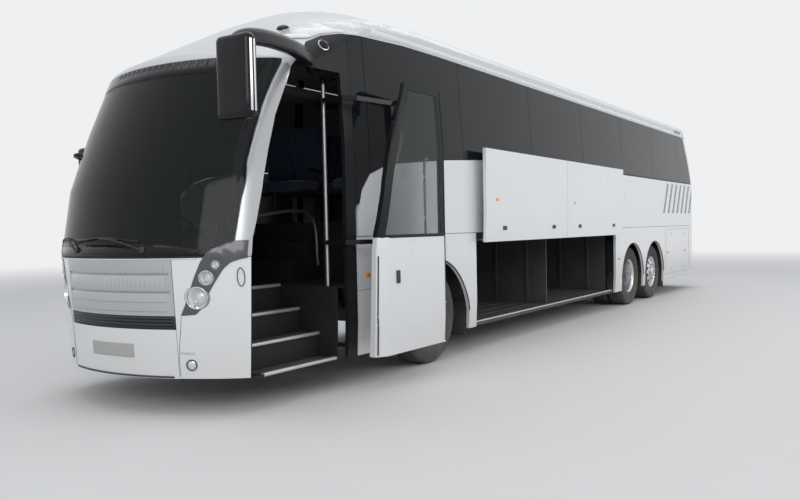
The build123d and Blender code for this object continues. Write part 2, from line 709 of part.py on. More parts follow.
for side, tag in ((1, "near"), (-1, "off")):
    x = side * kingpin_x
    knuckle = Pos(x, front_axle_y, tyre_radius) * Cylinder(kingpin_r, 240)
    for z0 in (415.0, 585.0):
        knuckle = knuckle + box(side * 815, side * 960, front_axle_y - 40, front_axle_y + 40, z0, z0 + 40)
    knuckle = knuckle + box(side * 920, side * 960, front_axle_y - 60, front_axle_y + 60, 415, 625)
    centre = (side * 955, front_axle_y, tyre_radius)
    knuckle = knuckle + rod(centre, (side * hub_end, front_axle_y, tyre_radius), stub_r)
    save("knuckle_" + tag, [knuckle])


def flats(radius, x0, x1, end_radius=None, sides=40):
    face = Plane.YZ.offset(x0) * RegularPolygon(radius, sides)
    if end_radius is None:
        return extrude(face, amount=x1 - x0)
    fall = (radius - end_radius) * math.cos(math.pi / sides)
    return extrude(face, amount=x1 - x0, taper=math.degrees(math.atan(fall / (x1 - x0))))


def round_hole(radius, x0, x1):
    return rod((x0, 0, 0), (x1, 0, 0), radius)


def tyre(x, y):
    h = tyre_width / 2
    half = flats(tyre_radius, -1, h - 30) + flats(tyre_radius, h - 30, h, tyre_radius - 14)
    return Pos(x, y, tyre_radius) * (half + mirrored(half) - flats(rim_radius, -h - 1, h + 1, sides=24))


def turned_with_flats(profile, sides=24):
    faces = []
    for step in range(sides):
        turns = [2 * math.pi * (step + k) / sides for k in (0, 1)]
        for (x0, r0), (x1, r1) in zip(profile, profile[1:] + profile[:1]):
            ring = [(x0, r0, turns[0]), (x1, r1, turns[0]), (x1, r1, turns[1]), (x0, r0, turns[1])]
            corners = [(x, r * math.cos(a), r * math.sin(a)) for x, r, a in ring]
            faces.append(make_face(Polyline(*corners, close=True)).face())
    shape = Solid(Shell(faces))
    return shape if shape.volume > 0 else -shape


bore_r = stub_r + running
half_rim = 114.0
# Rim sections: distance out from the wheel's middle, and radius
outer_lip = (half_rim, rim_radius)
inner_lip = (-half_rim, rim_radius)
DISHED_RING = [outer_lip, (96, 262), (134, 172), (134, 70), (118, 70)]
DISHED_RING += [(118, 166), (80, 250), (-half_rim, 262), inner_lip]
DEEP_RING = [outer_lip, (96, 262), (-100, 246), (-135, 172), (-135, 90)]
DEEP_RING += [(-151, 90), (-151, 180), (-half_rim, 262), inner_lip]
INNER_RING = [inner_lip, (-half_rim, 272), (100, 246), (135, 172), (135, 62)]
INNER_RING += [(151, 62), (151, 180), (half_rim, 262), outer_lip]


def alloy_rim():
    shape = turned_with_flats(DISHED_RING) + flats(90, 119, 166, sides=24)
    return shape - round_hole(bore_r, 0, 152)


def twin_rims():
    inner = Pos(-twin_pitch, 0, 0) * turned_with_flats(INNER_RING)
    hub = flats(110, -190, -28, sides=24)
    return turned_with_flats(DEEP_RING) + inner + hub - round_hole(bore_r, -300, -45)


inner_x = wheel_x - twin_pitch
for side, tag in ((1, "near"), (-1, "off")):
    save("tyre_front_" + tag, [tyre(side * wheel_x, front_axle_y)])
    save("tyre_drive_" + tag, [tyre(side * wheel_x, drive_axle_y), tyre(side * inner_x, drive_axle_y)])
    save("tyre_tag_" + tag, [tyre(side * wheel_x, tag_axle_y)])
    for name, y in (("rim_front_", front_axle_y), ("rim_tag_", tag_axle_y)):
        rim = alloy_rim() if side > 0 else mirrored(alloy_rim())
        save(name + tag, [Pos(side * wheel_x, y, tyre_radius) * rim])
    twin = twin_rims() if side > 0 else mirrored(twin_rims())
    save("rim_drive_" + tag, [Pos(side * wheel_x, drive_axle_y, tyre_radius) * twin])

# Mirrors on their arms
near_arm = bent_bar([(1090, -5990, 2925), (1290, -6390, 2950), (1490, -7060, 2950), (1530, -7385, 2870)], 80, 110)
head_x = 1545.0
head_y = -7410.0
near_head = chamfer((Pos(head_x, head_y, 2560) * Box(330, 110, 600)).edges(), 30)
off_arm = bent_bar([(-1110, -6688, 2230), (-1225, -6794, 2230), (-1480, -6500, 2230)], 40, 40)
off_head = chamfer((Pos(-1500, -6470, 2150) * Box(200, 100, 400)).edges(), 28)
mirror_near = near_arm - outer_form + near_head
mirror_off = off_arm - outer_form + off_head
save("mirrors", [mirror_near, mirror_off])
near_pane = Pos(head_x, head_y + 57, 2545) * Box(270, 4, 500)
off_pane = Pos(-1500, -6418, 2150) * Box(150, 4, 340)
save("mirror_glass", [near_pane, off_pane])

# Entrance door: shaped shut, then moved along to its open place
door_points = [(-6950.0, skirt_z + 10)] + PILLAR_REAR
leaf_rear_y = doorway_rear_y - 15
door_points += [(-6370, door_top_z), (leaf_rear_y, door_top_z), (leaf_rear_y, skirt_z + 10)]
door_place = Pos(door_shift_x, door_shift_y, 0)
leaf_form = panel(skin, door_points, 1000, side_reach)
leaf_border = 80.0
leaf_void = extrude(Plane.YZ.offset(1000) * shrunk(door_points, leaf_border), amount=400, dir=(1, 0, 0))
pane_low_z = 1390.0
leaf_void = leaf_void - box(1000, side_reach, -7100, -5700, skirt_z, pane_low_z)
leaf = leaf_form - leaf_void
DOOR_ARMS = [1350.0, 2640.0]
door_pin_r = 8.0
post_r = 20.0
for arm_z in DOOR_ARMS:
    for z0 in (arm_z - 32, arm_z + 22):
        lug = box(hinge_shut[0] - 16, 1260, hinge_shut[1] - 20, hinge_shut[1] + 20, z0, z0 + 10) & inner_form
        leaf = leaf + lug
    leaf = leaf + rod((*hinge_shut, arm_z - 30), (*hinge_shut, arm_z + 30), door_pin_r, 10)
save("door_leaf", [door_place * leaf])
save("door_glass", [door_place * (glass_skin & leaf_void)])
arms = rod((post_x, post_y, post_z0), (post_x, post_y, post_z1), post_r)
tip_x = hinge_open[0] - post_x
tip_y = hinge_open[1] - post_y
ARM_PATH = [(0, 0), (50, -65), (tip_x - 178, -65), (tip_x - 88, 20), (tip_x, tip_y)]
for arm_z in DOOR_ARMS:
    path = [(post_x + x, post_y + y) for x, y in ARM_PATH]
    arms = arms + flat_arm(path, 14, 18, door_pin_r + running, Pos(0, 0, arm_z - 21) * Plane.XY, 42)
save("door_arms", [arms])

# Luggage doors on parallel arms: raised on the near side, shut on the off side
lift_pivot = (1090.0, 1320.0)
lift_hinge_shut = (1184.0, 800.0)
lift_hinge_up = (lift_hinge_shut[0] + flap_out, lift_hinge_shut[1] + flap_rise)
lift_elbow = (1298.0, 1310.0)
lift_inset = 130.0
lift_pin_r = 6.0
shaft_gap = 67.0 + running
BAYS = [("front", bay_front_y, bay_split_y), ("rear", bay_split_y, bay_rear_y)]
up_angle = math.atan2(lift_hinge_up[1] - lift_pivot[1], lift_hinge_up[0] - lift_pivot[0])
shut_angle = math.atan2(lift_hinge_shut[1] - lift_pivot[1], lift_hinge_shut[0] - lift_pivot[0])
turn = shut_angle - up_angle
elbow_dx = lift_elbow[0] - lift_pivot[0]
elbow_dz = lift_elbow[1] - lift_pivot[1]
elbow_shut = (
    lift_pivot[0] + elbow_dx * math.cos(turn) - elbow_dz * math.sin(turn),
    lift_pivot[1] + elbow_dx * math.sin(turn) + elbow_dz * math.cos(turn),
)


def lift_arms(y0, y1, elbow, hinge):
    shaft_start = (lift_pivot[0], y0 + shaft_gap, lift_pivot[1])
    shape = rod(shaft_start, (lift_pivot[0], y1 - shaft_gap, lift_pivot[1]), 16)
    for y in (y0 + lift_inset, y1 - lift_inset):
        arm = flat_arm([lift_pivot, elbow, hinge], 13, 16, lift_pin_r + running, Plane.XZ.offset(-y - 12), 24)
        shape = shape + arm
    return shape


for tag, y0, y1 in BAYS:
    points = [(y0, skirt_z), (y1, skirt_z), (y1, moulding_z - 5), (y0, moulding_z - 5)]
    shut_door = panel(skin, points, 1100, side_reach, 5.0)
    for y in (y0 + lift_inset, y1 - lift_inset):
        for lug_y in (y - 25, y + 15):
            lug_z = lift_hinge_shut[1]
            lug = box(lift_hinge_shut[0] - 12, half_width, lug_y, lug_y + 10, lug_z - 16, lug_z + 16)
            shut_door = shut_door + (lug & inner_form)
        pin_start = (lift_hinge_shut[0], y - 26, lift_hinge_shut[1])
        shut_door = shut_door + rod(pin_start, (lift_hinge_shut[0], y + 26, lift_hinge_shut[1]), lift_pin_r, 10)
    save("luggage_door_near_" + tag, [Pos(flap_out, 0, flap_rise) * shut_door])
    save("luggage_door_off_" + tag, [mirrored(shut_door)])
    save("luggage_arms_near_" + tag, [lift_arms(y0, y1, lift_elbow, lift_hinge_up)])
    save("luggage_arms_off_" + tag, [mirrored(lift_arms(y0, y1, elbow_shut, lift_hinge_shut))])
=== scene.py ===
import json
from math import asin, copysign, cos, exp, hypot, pi, radians, sin

import bmesh
import bpy
from mathutils import Euler, Matrix, Vector
from mathutils.bvhtree import BVHTree
from mathutils.geometry import delaunay_2d_cdt


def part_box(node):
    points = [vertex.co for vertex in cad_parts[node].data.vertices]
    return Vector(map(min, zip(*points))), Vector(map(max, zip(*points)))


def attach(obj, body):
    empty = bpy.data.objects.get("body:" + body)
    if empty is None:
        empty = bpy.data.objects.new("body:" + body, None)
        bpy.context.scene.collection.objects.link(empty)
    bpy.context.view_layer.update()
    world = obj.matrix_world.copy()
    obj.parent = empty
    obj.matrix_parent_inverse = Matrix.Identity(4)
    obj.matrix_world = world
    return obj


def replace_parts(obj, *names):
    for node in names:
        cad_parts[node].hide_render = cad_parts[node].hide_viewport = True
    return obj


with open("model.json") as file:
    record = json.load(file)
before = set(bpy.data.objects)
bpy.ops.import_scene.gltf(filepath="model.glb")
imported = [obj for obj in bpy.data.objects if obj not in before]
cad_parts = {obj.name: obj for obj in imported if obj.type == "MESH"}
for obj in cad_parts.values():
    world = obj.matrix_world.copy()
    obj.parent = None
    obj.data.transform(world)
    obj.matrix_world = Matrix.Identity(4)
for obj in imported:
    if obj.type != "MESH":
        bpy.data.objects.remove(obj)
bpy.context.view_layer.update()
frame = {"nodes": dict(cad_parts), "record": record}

# Metres throughout: X to the entrance side, Y to the back, Z up
SIDES = ((1, "near"), (-1, "off"))

# Photo camera: place, directions in radians, lens in millimetres, shift in frame widths
CAMERA_PLACE = Vector((5.6088, -11.5533, 1.4666))
CAMERA_YAW = 0.5804
CAMERA_PITCH = -0.0457
CAMERA_ROLL = -0.0206
CAMERA_LENS = 35.82
CAMERA_SENSOR = 36.0
CAMERA_SHIFT = (0.0009, 0.0184)
CAMERA_REACH = 500.0


def make_camera():
    data = bpy.data.cameras.new("photo_camera")
    data.lens = CAMERA_LENS
    data.sensor_width = CAMERA_SENSOR
    data.shift_x, data.shift_y = CAMERA_SHIFT
    data.clip_end = CAMERA_REACH
    camera = bpy.data.objects.new("photo_camera", data)
    bpy.context.scene.collection.objects.link(camera)
    turn = Euler((pi / 2 + CAMERA_PITCH, 0, CAMERA_YAW)).to_matrix()
    turn = (turn @ Matrix.Rotation(CAMERA_ROLL, 3, "Z")).to_4x4()
    camera.matrix_world = Matrix.Translation(CAMERA_PLACE) @ turn
    bpy.context.scene.camera = camera


# Road dust: its colour, and the heights where it ends and where it is full
DUST = (0.36, 0.33, 0.29)
DUST_TOP = 1.1
DUST_FOOT = 0.25
BROAD_DETAIL = 6.0
GRAIN_DETAIL = 3.0
RELIEF_DEPTH = 0.002
COAT_ROUGHNESS = 0.04
LEAST_ROUGHNESS = 0.02


def feed(tree, node, inputs):
    """Sets each input to a plain value, or links it to the socket that is given for it."""
    for name, value in inputs.items():
        if isinstance(value, bpy.types.NodeSocket):
            tree.links.new(value, node.inputs[name])
        else:
            node.inputs[name].default_value = value


def new_node(tree, kind, output, inputs=None, **settings):
    """A shader node with its settings and inputs; gives one output."""
    node = tree.nodes.new(kind)
    for key, value in settings.items():
        setattr(node, key, value)
    feed(tree, node, inputs or {})
    return node.outputs[output]


def mixed(tree, share, a, b):
    inputs = {"Factor": share, "A": a, "B": b}
    return new_node(tree, "ShaderNodeMix", "Result", inputs, data_type="RGBA")


def finish(name, colour, roughness, metallic=0.0, vary=0.08, scale=3.0, fine=240.0, bump=0.05,
           dust=0.0, coat=0.0, rough_vary=0.12, alpha=1.0, specular=0.5, sheen=0.0):
    """A material with a broad tint, a fine relief and, low down, some road dust."""
    material = bpy.data.materials.new(name)
    material.use_nodes = True
    tree = material.node_tree
    place = new_node(tree, "ShaderNodeTexCoord", "Object")
    noise = {"Vector": place, "Scale": scale, "Detail": BROAD_DETAIL}
    broad = new_node(tree, "ShaderNodeTexNoise", "Fac", noise)
    noise = {"Vector": place, "Scale": fine, "Detail": GRAIN_DETAIL}
    grain = new_node(tree, "ShaderNodeTexNoise", "Fac", noise)
    darker = (*[c * (1 - vary) for c in colour], 1)
    lighter = (*[min(c * (1 + vary), 1) for c in colour], 1)
    paint = mixed(tree, broad, darker, lighter)
    rough = new_node(tree, "ShaderNodeMapRange", "Result", {
        "Value": broad,
        "To Min": max(roughness - rough_vary, LEAST_ROUGHNESS),
        "To Max": min(roughness + rough_vary, 1.0),
    })
    if dust:
        height = new_node(tree, "ShaderNodeSeparateXYZ", "Z", {"Vector": place})
        fade = {"Value": height, "From Min": DUST_TOP, "From Max": DUST_FOOT, "To Max": dust}
        low = new_node(tree, "ShaderNodeMapRange", "Result", fade)
        cover = new_node(tree, "ShaderNodeMath", "Value", {0: low, 1: broad}, operation="MULTIPLY")
        paint = mixed(tree, cover, paint, (*DUST, 1))
    relief = {"Strength": bump, "Distance": RELIEF_DEPTH, "Height": grain}
    feed(tree, tree.nodes["Principled BSDF"], {
        "Base Color": paint, "Metallic": metallic, "Roughness": rough, "Alpha": alpha,
        "Normal": new_node(tree, "ShaderNodeBump", "Normal", relief),
        "Coat Weight": coat, "Coat Roughness": COAT_ROUGHNESS,
        "Specular IOR Level": specular, "Sheen Weight": sheen,
    })
    return material


# Paint
WHITE = finish("white_paint", (0.8, 0.81, 0.82), 0.3, vary=0.02, coat=0.6, dust=0.4,
               bump=0.002, fine=14, scale=1.6)
# The roof: a darker grey than the white of the sides
ROOF_GREY = finish("roof_grey", (0.6, 0.62, 0.65), 0.36, vary=0.03, coat=0.2, bump=0.002,
                    fine=14)
SILVER = finish("silver_paint", (0.5, 0.51, 0.52), 0.3, metallic=0.55, vary=0.05, coat=0.5,
                bump=0.004, fine=30, dust=0.4)
# Grey paint for the grille lips; along the grille creases this darker grey is painted shade
GREY_AND_CREASE_SHADE = finish("grey_paint_and_crease_shade", (0.3, 0.31, 0.33), 0.35, metallic=0.5, vary=0.06, coat=0.4, dust=0.3)
DARK = finish("dark_paint", (0.012, 0.013, 0.014), 0.3, vary=0.15, bump=0.004, fine=40,
              specular=0.16)
FAIRING = finish("lamp_fairing", (0.075, 0.078, 0.084), 0.28, metallic=0.3, vary=0.1, coat=0.6,
                 bump=0.01)
BAR_GREY = finish("bar_vinyl", (0.3, 0.32, 0.38), 0.4, vary=0.06, bump=0.02)

# Glass and lenses
GLASS = {"vary": 0.2, "bump": 0.0005, "fine": 6, "rough_vary": 0.02}
DARK_GLASS = finish("side_glass", (0.008, 0.01, 0.012), 0.06, alpha=0.94, specular=0.22, **GLASS)
SCREEN_GLASS = finish("windscreen_glass", (0.008, 0.011, 0.012), 0.06, alpha=0.66, specular=0.22,
                      **GLASS)
DOOR_GLASS = finish("door_pane", (0.04, 0.052, 0.052), 0.05, alpha=0.35, specular=0.3, **GLASS)
MIRROR = finish("mirror_face", (0.75, 0.77, 0.79), 0.05, metallic=1.0, vary=0.02, bump=0.002,
                rough_vary=0.03)
LENS = finish("lamp_lens", (0.8, 0.83, 0.86), 0.08, vary=0.05, coat=1.0, bump=0.01, alpha=0.35)
RED = finish("red_lens", (0.42, 0.012, 0.012), 0.14, vary=0.1, coat=0.9, bump=0.02)
AMBER = finish("amber_lens", (0.85, 0.28, 0.02), 0.2, vary=0.1, coat=0.8, bump=0.02)
GLOW = finish("lamp_glow", (0.72, 0.75, 0.78), 0.12, metallic=0.5, vary=0.06, coat=1.0, bump=0.05,
              fine=90)

# Rubber and plastic
RUBBER = finish("rubber", (0.022, 0.022, 0.023), 0.62, vary=0.25, bump=0.25, dust=0.3, specular=0.3)
TYRE = finish("tyre_rubber", (0.028, 0.028, 0.029), 0.72, vary=0.3, bump=0.4, dust=0.45,
              specular=0.3, scale=6)
PLASTIC = finish("black_plastic", (0.028, 0.029, 0.031), 0.5, vary=0.2, bump=0.3, fine=500)
GLOSS_BLACK = finish("gloss_black", (0.01, 0.01, 0.012), 0.16, vary=0.2, coat=0.1, bump=0.004,
                     fine=40, specular=0.18)

# Metal
ALLOY = finish("alloy", (0.72, 0.73, 0.75), 0.24, metallic=0.9, vary=0.05, bump=0.06, dust=0.25,
               scale=9)
STEEL = finish("steel", (0.46, 0.47, 0.49), 0.35, metallic=0.9, vary=0.1, bump=0.12)
BRIGHT = finish("bright_strip", (0.74, 0.75, 0.77), 0.22, metallic=0.85, vary=0.05, bump=0.08)
CHROME = finish("chrome", (0.8, 0.81, 0.83), 0.08, metallic=1.0, vary=0.03, bump=0.01,
                rough_vary=0.04)
NOSING = finish("step_nosing", (0.62, 0.63, 0.64), 0.35, metallic=0.7, vary=0.08, bump=0.3,
                fine=300)
CHASSIS = finish("chassis_steel", (0.045, 0.045, 0.05), 0.6, vary=0.3, bump=0.4, dust=0.5, fine=120)
IRON = finish("cast_iron", (0.1, 0.1, 0.105), 0.7, metallic=0.4, vary=0.3, bump=0.6, fine=160,
              dust=0.3)

# Linings and cloth
FLOOR_GREY = finish("floor_vinyl", (0.1, 0.105, 0.115), 0.6, vary=0.14, bump=0.35, fine=420)
STEP_BLACK = finish("step_lining", (0.016, 0.017, 0.018), 0.6, vary=0.2, bump=0.35, fine=420,
                    specular=0.3)
BAY_GREY = finish("bay_lining", (0.05, 0.052, 0.055), 0.65, vary=0.2, bump=0.4, fine=300,
                  dust=0.25, specular=0.3)
TRIM = finish("light_trim", (0.42, 0.42, 0.41), 0.55, vary=0.08, bump=0.25, fine=380)
CLOTH = finish("seat_cloth", (0.045, 0.06, 0.12), 0.9, vary=0.3, bump=0.7, fine=700, sheen=0.3,
               scale=30)

# Luggage bays; columns: name, front wall, rear wall
BAYS = (("front", -3.25, -0.7), ("rear", -0.7, 1.85))
BAY_DOORS = [f"{tag}_{end}" for _, tag in SIDES for end, _, _ in BAYS]
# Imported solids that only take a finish
NODE_FINISH = {
    "air_bellows": RUBBER, "axle_beams": CHASSIS, "bay_sills": BRIGHT, "bay_tub": BAY_GREY,
    "body_ribs": PLASTIC, "chassis_frame": CHASSIS, "dashboard": PLASTIC,
    "door_arms": GLOSS_BLACK, "door_frame": DARK, "engine_block": IRON,
    "entrance_steps": STEP_BLACK, "floor_deck": FLOOR_GREY, "parcel_racks": TRIM,
    "wheel_housings": PLASTIC, "window_posts": PLASTIC, "windscreen_seat": PLASTIC,
    "mirror_glass": MIRROR, "knuckle_near": IRON, "knuckle_off": IRON,
    **{"luggage_arms_" + door: STEEL for door in BAY_DOORS},
}
# Packed shells that are shown by a smooth copy
PANEL_FINISH = {
    "roof_shell": ROOF_GREY, "windscreen": SCREEN_GLASS, "pillars": SILVER,
    "side_glass": DARK_GLASS, "side_panels": WHITE, "waist_panels": WHITE,
    "service_flap": WHITE, "front_bumper": WHITE, "grille_panel": SILVER,
    "front_corners": WHITE, "rear_panels": WHITE, "rear_window": DARK_GLASS,
    "engine_door": WHITE, "door_glass": DOOR_GLASS, "headlamps": LENS, "tail_lamps": RED,
    **{"luggage_door_" + door: WHITE for door in BAY_DOORS},
}
# The entrance door is black above this height and white below it
DOOR_SPLIT_Z = 1.385
PANEL_WELD = 0.0002


def body_of_node(node):
    for body, nodes in frame["record"]["behaviour"]["bodies"].items():
        if node in nodes:
            return body
    raise KeyError(node)


def add_piece(name, mesh, material, body, sharp):
    """A visible piece of one finish on a body; edges over the sharp angle in degrees stay sharp."""
    piece = bpy.data.objects.new(name, mesh)
    bpy.context.scene.collection.objects.link(piece)
    mesh.materials.append(material)
    mesh.shade_smooth()
    mesh.set_sharp_from_angle(angle=radians(sharp))
    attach(piece, body)
    return piece


def from_bmesh(name, work, material, body, sharp, mesh=None):
    mesh = mesh or bpy.data.meshes.new(name)
    work.to_mesh(mesh)
    work.free()
    return add_piece(name, mesh, material, body, sharp)


def cut_through(work, place, normal, clear_outer=False):
    every = work.verts[:] + work.edges[:] + work.faces[:]
    bmesh.ops.bisect_plane(work, geom=every, plane_co=place, plane_no=normal,
                           clear_outer=clear_outer)


def smooth_panel(node, material, name=None, keep=None):
    """A copy of a packed shell with its facets merged and shaded as the curved sheet it is.

    keep is 1 for the part above DOOR_SPLIT_Z only, and -1 for the part below it.
    """
    work = bmesh.new()
    work.from_mesh(frame["nodes"][node].data)
    bmesh.ops.remove_doubles(work, verts=work.verts, dist=PANEL_WELD)
    if keep is not None:
        cut_through(work, (0, 0, DOOR_SPLIT_Z), (0, 0, -keep), clear_outer=True)
        bmesh.ops.holes_fill(work, edges=[e for e in work.edges if e.is_boundary])
    piece = from_bmesh(name or "dressed_" + node, work, material, body_of_node(node), 28)
    weigh = piece.modifiers.new("weigh", "WEIGHTED_NORMAL")
    weigh.keep_sharp = True
    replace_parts(piece, node)


def dress_nodes():
    for node, material in NODE_FINISH.items():
        data = frame["nodes"][node].data
        data.materials.clear()
        data.materials.append(material)
    for node, material in PANEL_FINISH.items():
        smooth_panel(node, material)
    smooth_panel("door_leaf", DARK, "door_frame_upper", 1)
    smooth_panel("door_leaf", WHITE, "door_panel_lower", -1)


# Shells that details lie on, and points on them
def surface_of(names):
    verts = []
    faces = []
    for name in names.split():
        mesh = frame["nodes"][name].data
        start = len(verts)
        verts += [v.co.copy() for v in mesh.vertices]
        faces += [[start + i for i in p.vertices] for p in mesh.polygons]
    return BVHTree.FromPolygons(verts, faces)


FRONT_SHELL = surface_of("front_bumper grille_panel front_corners headlamps windscreen pillars "
                         "roof_shell body_ribs")
SIDE_SHELL = surface_of("side_panels waist_panels side_glass roof_shell pillars front_corners "
                        "service_flap door_frame rear_panels")
REAR_SHELL = surface_of("rear_panels engine_door rear_window tail_lamps roof_shell")
TOP_SHELL = surface_of("roof_shell")
LEAF_SHELL = surface_of("door_leaf door_glass")

# Columns: shell, function from flat place to start point, direction
VIEWS = {
    "front": (FRONT_SHELL, lambda a, b: Vector((a, -9, b)), Vector((0, 1, 0))),
    "near": (SIDE_SHELL, lambda a, b: Vector((3, a, b)), Vector((-1, 0, 0))),
    "off": (SIDE_SHELL, lambda a, b: Vector((-3, a, b)), Vector((1, 0, 0))),
    "rear": (REAR_SHELL, lambda a, b: Vector((a, 9, b)), Vector((0, -1, 0))),
    "top": (TOP_SHELL, lambda a, b: Vector((a, b, 9)), Vector((0, 0, -1))),
    "leaf": (LEAF_SHELL, lambda a, b: Vector((3, a, b)), Vector((-1, 0, 0))),
}
# Half width of the joints that are bridged, and how far back their ground lies at least
JOINT_REACH = 0.009
JOINT_DEPTH = 0.006
JOINT_TRIES = ((0, 0), (JOINT_REACH, 0), (-JOINT_REACH, 0), (0, JOINT_REACH), (0, -JOINT_REACH))


def on_shell(view, a, b, lift=0.0):
    """The outermost point of a shell near a flat place, so that panel joints are bridged."""
    shell, start, way = VIEWS[view]
    best = None
    for da, db in JOINT_TRIES:
        hit = shell.ray_cast(start(a + da, b + db), way)
        if hit[0] is not None and (best is None or hit[3] < best[3] - JOINT_DEPTH):
            best = hit
    if best is None:
        raise ValueError((view, a, b))
    normal = best[1] if best[1].dot(way) < 0 else -best[1]
    return start(a, b) + way * best[3] + normal * lift, normal


# Flat outlines
def inside(point, outline):
    hit = False
    for (ax, ay), (bx, by) in zip(outline, outline[1:] + outline[:1]):
        if (ay > point[1]) != (by > point[1]):
            if point[0] < (bx - ax) * (point[1] - ay) / (by - ay) + ax:
                hit = not hit
    return hit


def spread(first, step, count):
    return [first + step * k for k in range(count)]


def shares(count):
    return [k / count for k in range(count + 1)]


def ring_angles(count, shift=0.0):
    return [2 * pi * (k + shift) / count for k in range(count)]


def ring_points(a, b, radius, count=28):
    return [(a + radius * cos(t), b + radius * sin(t)) for t in ring_angles(count)]


def rectangle(a0, b0, a1, b1):
    return [(a0, b0), (a1, b0), (a1, b1), (a0, b1)]


def on_side(side, points):
    """Rows that start with a place across, on the near (1) or off (-1) side."""
    return [(side * p[0], *p[1:]) for p in points]


def resampled(outline, step):
    out = []
    for (ax, ay), (bx, by) in zip(outline, outline[1:] + outline[:1]):
        count = max(1, round(hypot(bx - ax, by - ay) / step))
        out += [(ax + (bx - ax) * k / count, ay + (by - ay) * k / count) for k in range(count)]
    return out


def steps(values, step):
    at = min(values) + step / 2
    while at < max(values):
        yield at
        at += step


def flat_mesh(outline, holes, step):
    """Triangles of a flat outline with round holes, fine enough to be bent over a shell."""
    points = []
    edges = []
    for loop in [resampled(outline, step)] + [ring_points(*hole) for hole in holes]:
        start = len(points)
        points += loop
        edges += [(start + k, start + (k + 1) % len(loop)) for k in range(len(loop))]
    for a in steps([p[0] for p in outline], step):
        for b in steps([p[1] for p in outline], step):
            free = all(hypot(a - h[0], b - h[1]) > h[2] + step / 3 for h in holes)
            if free and inside((a, b), outline):
                points.append((a, b))
    flat = [Vector(p) for p in points]
    verts, _, faces, _, _, _ = delaunay_2d_cdt(flat, edges, [], 0, 1e-6)
    kept = []
    for face in faces:
        c = sum((verts[i] for i in face), Vector((0, 0))) / len(face)
        if inside(c, outline) and all((c - Vector(h[:2])).length > h[2] for h in holes):
            kept.append(face)
    return verts, kept


# Meshes and their walls
def from_points(name, verts, faces, material, body, sharp, weld=0.0, facing=None):
    """A piece with its faces turned out; facing is the direction that an open one looks in."""
    mesh = bpy.data.meshes.new(name)
    mesh.from_pydata(verts, [], faces)
    work = bmesh.new()
    work.from_mesh(mesh)
    if weld:
        bmesh.ops.remove_doubles(work, verts=work.verts, dist=weld)
    bmesh.ops.recalc_face_normals(work, faces=work.faces)
    if facing and sum(f.normal.dot(facing) * f.calc_area() for f in work.faces) < 0:
        bmesh.ops.reverse_faces(work, faces=work.faces)
    return from_bmesh(name, work, material, body, sharp, mesh)


def add_wall(piece, thickness, offset, bevel=0.0):
    wall = piece.modifiers.new("wall", "SOLIDIFY")
    wall.thickness = thickness
    wall.offset = offset
    if bevel:
        edge = piece.modifiers.new("edge", "BEVEL")
        edge.width = bevel
        edge.segments = 2
        edge.limit_method = "ANGLE"
        edge.angle_limit = radians(50)


# How deep a film or plate is let into its shell
SKIN_SINK = 0.002


def skin_patch(name, outline, view, material, body="coach_body", thick=0.003, holes=(), step=0.05,
               bevel=0.0, place=None):
    """A thin moulding, film or blank plate that follows a shell."""
    verts, faces = flat_mesh(list(outline), list(holes), step)
    place = place or (lambda a, b: on_shell(view, a, b)[0])
    points = [place(v.x, v.y) for v in verts]
    piece = from_points(name, points, faces, material, body, 35, facing=-VIEWS[view][2])
    add_wall(piece, thick + SKIN_SINK, thick / (thick + SKIN_SINK), bevel)


def basis(axis):
    axis = Vector(axis).normalized()
    first = Vector((0, 0, 1)) if abs(axis.z) < 0.9 else Vector((1, 0, 0))
    side = axis.cross(first).normalized()
    return axis, side, axis.cross(side)


def lathe(name, profile, segments, centre, axis, material, body="coach_body", sharp=38, wave=None):
    """A turned form of rows (distance along the axis, radius), closed when it ends at its start."""
    axis, side, up = basis(axis)
    centre = Vector(centre)
    closed = profile[0] == profile[-1]
    rows = profile[:-1] if closed else profile
    verts = []
    for k, t in enumerate(ring_angles(segments)):
        out = side * cos(t) + up * sin(t)
        for j, (along, radius) in enumerate(rows):
            r = radius - (wave(k, j) if wave else 0.0)
            verts.append(centre + axis * along + out * r)
    n = len(rows)
    faces = []
    for k in range(segments):
        for j in range(n if closed else n - 1):
            here, there = k * n, (k + 1) % segments * n
            faces.append((here + j, here + (j + 1) % n, there + (j + 1) % n, there + j))
    return from_points(name, verts, faces, material, body, sharp, weld=1e-5)


def lathe_on(name, view, a, b, profile, segments, material):
    """A turned form that stands on a shell."""
    place, normal = on_shell(view, a, b)
    return lathe(name, profile, segments, place, normal, material)


def curved_path(points, count=8):
    """Points on a smooth line through the given ones."""
    points = [Vector(p) for p in points]
    ends = [points[0] * 2 - points[1]] + points + [points[-1] * 2 - points[-2]]
    out = []
    for p0, p1, p2, p3 in zip(ends, ends[1:], ends[2:], ends[3:]):
        for t in (k / count for k in range(count)):
            out.append(0.5 * (2 * p1 + (p2 - p0) * t + (2 * p0 - 5 * p1 + 4 * p2 - p3) * t ** 2
                              + (3 * p1 - p0 - 3 * p2 + p3) * t ** 3))
    return out + [points[-1]]


def half_at(half, share):
    if callable(half):
        return half(share)
    return half if isinstance(half, tuple) else (half, half)


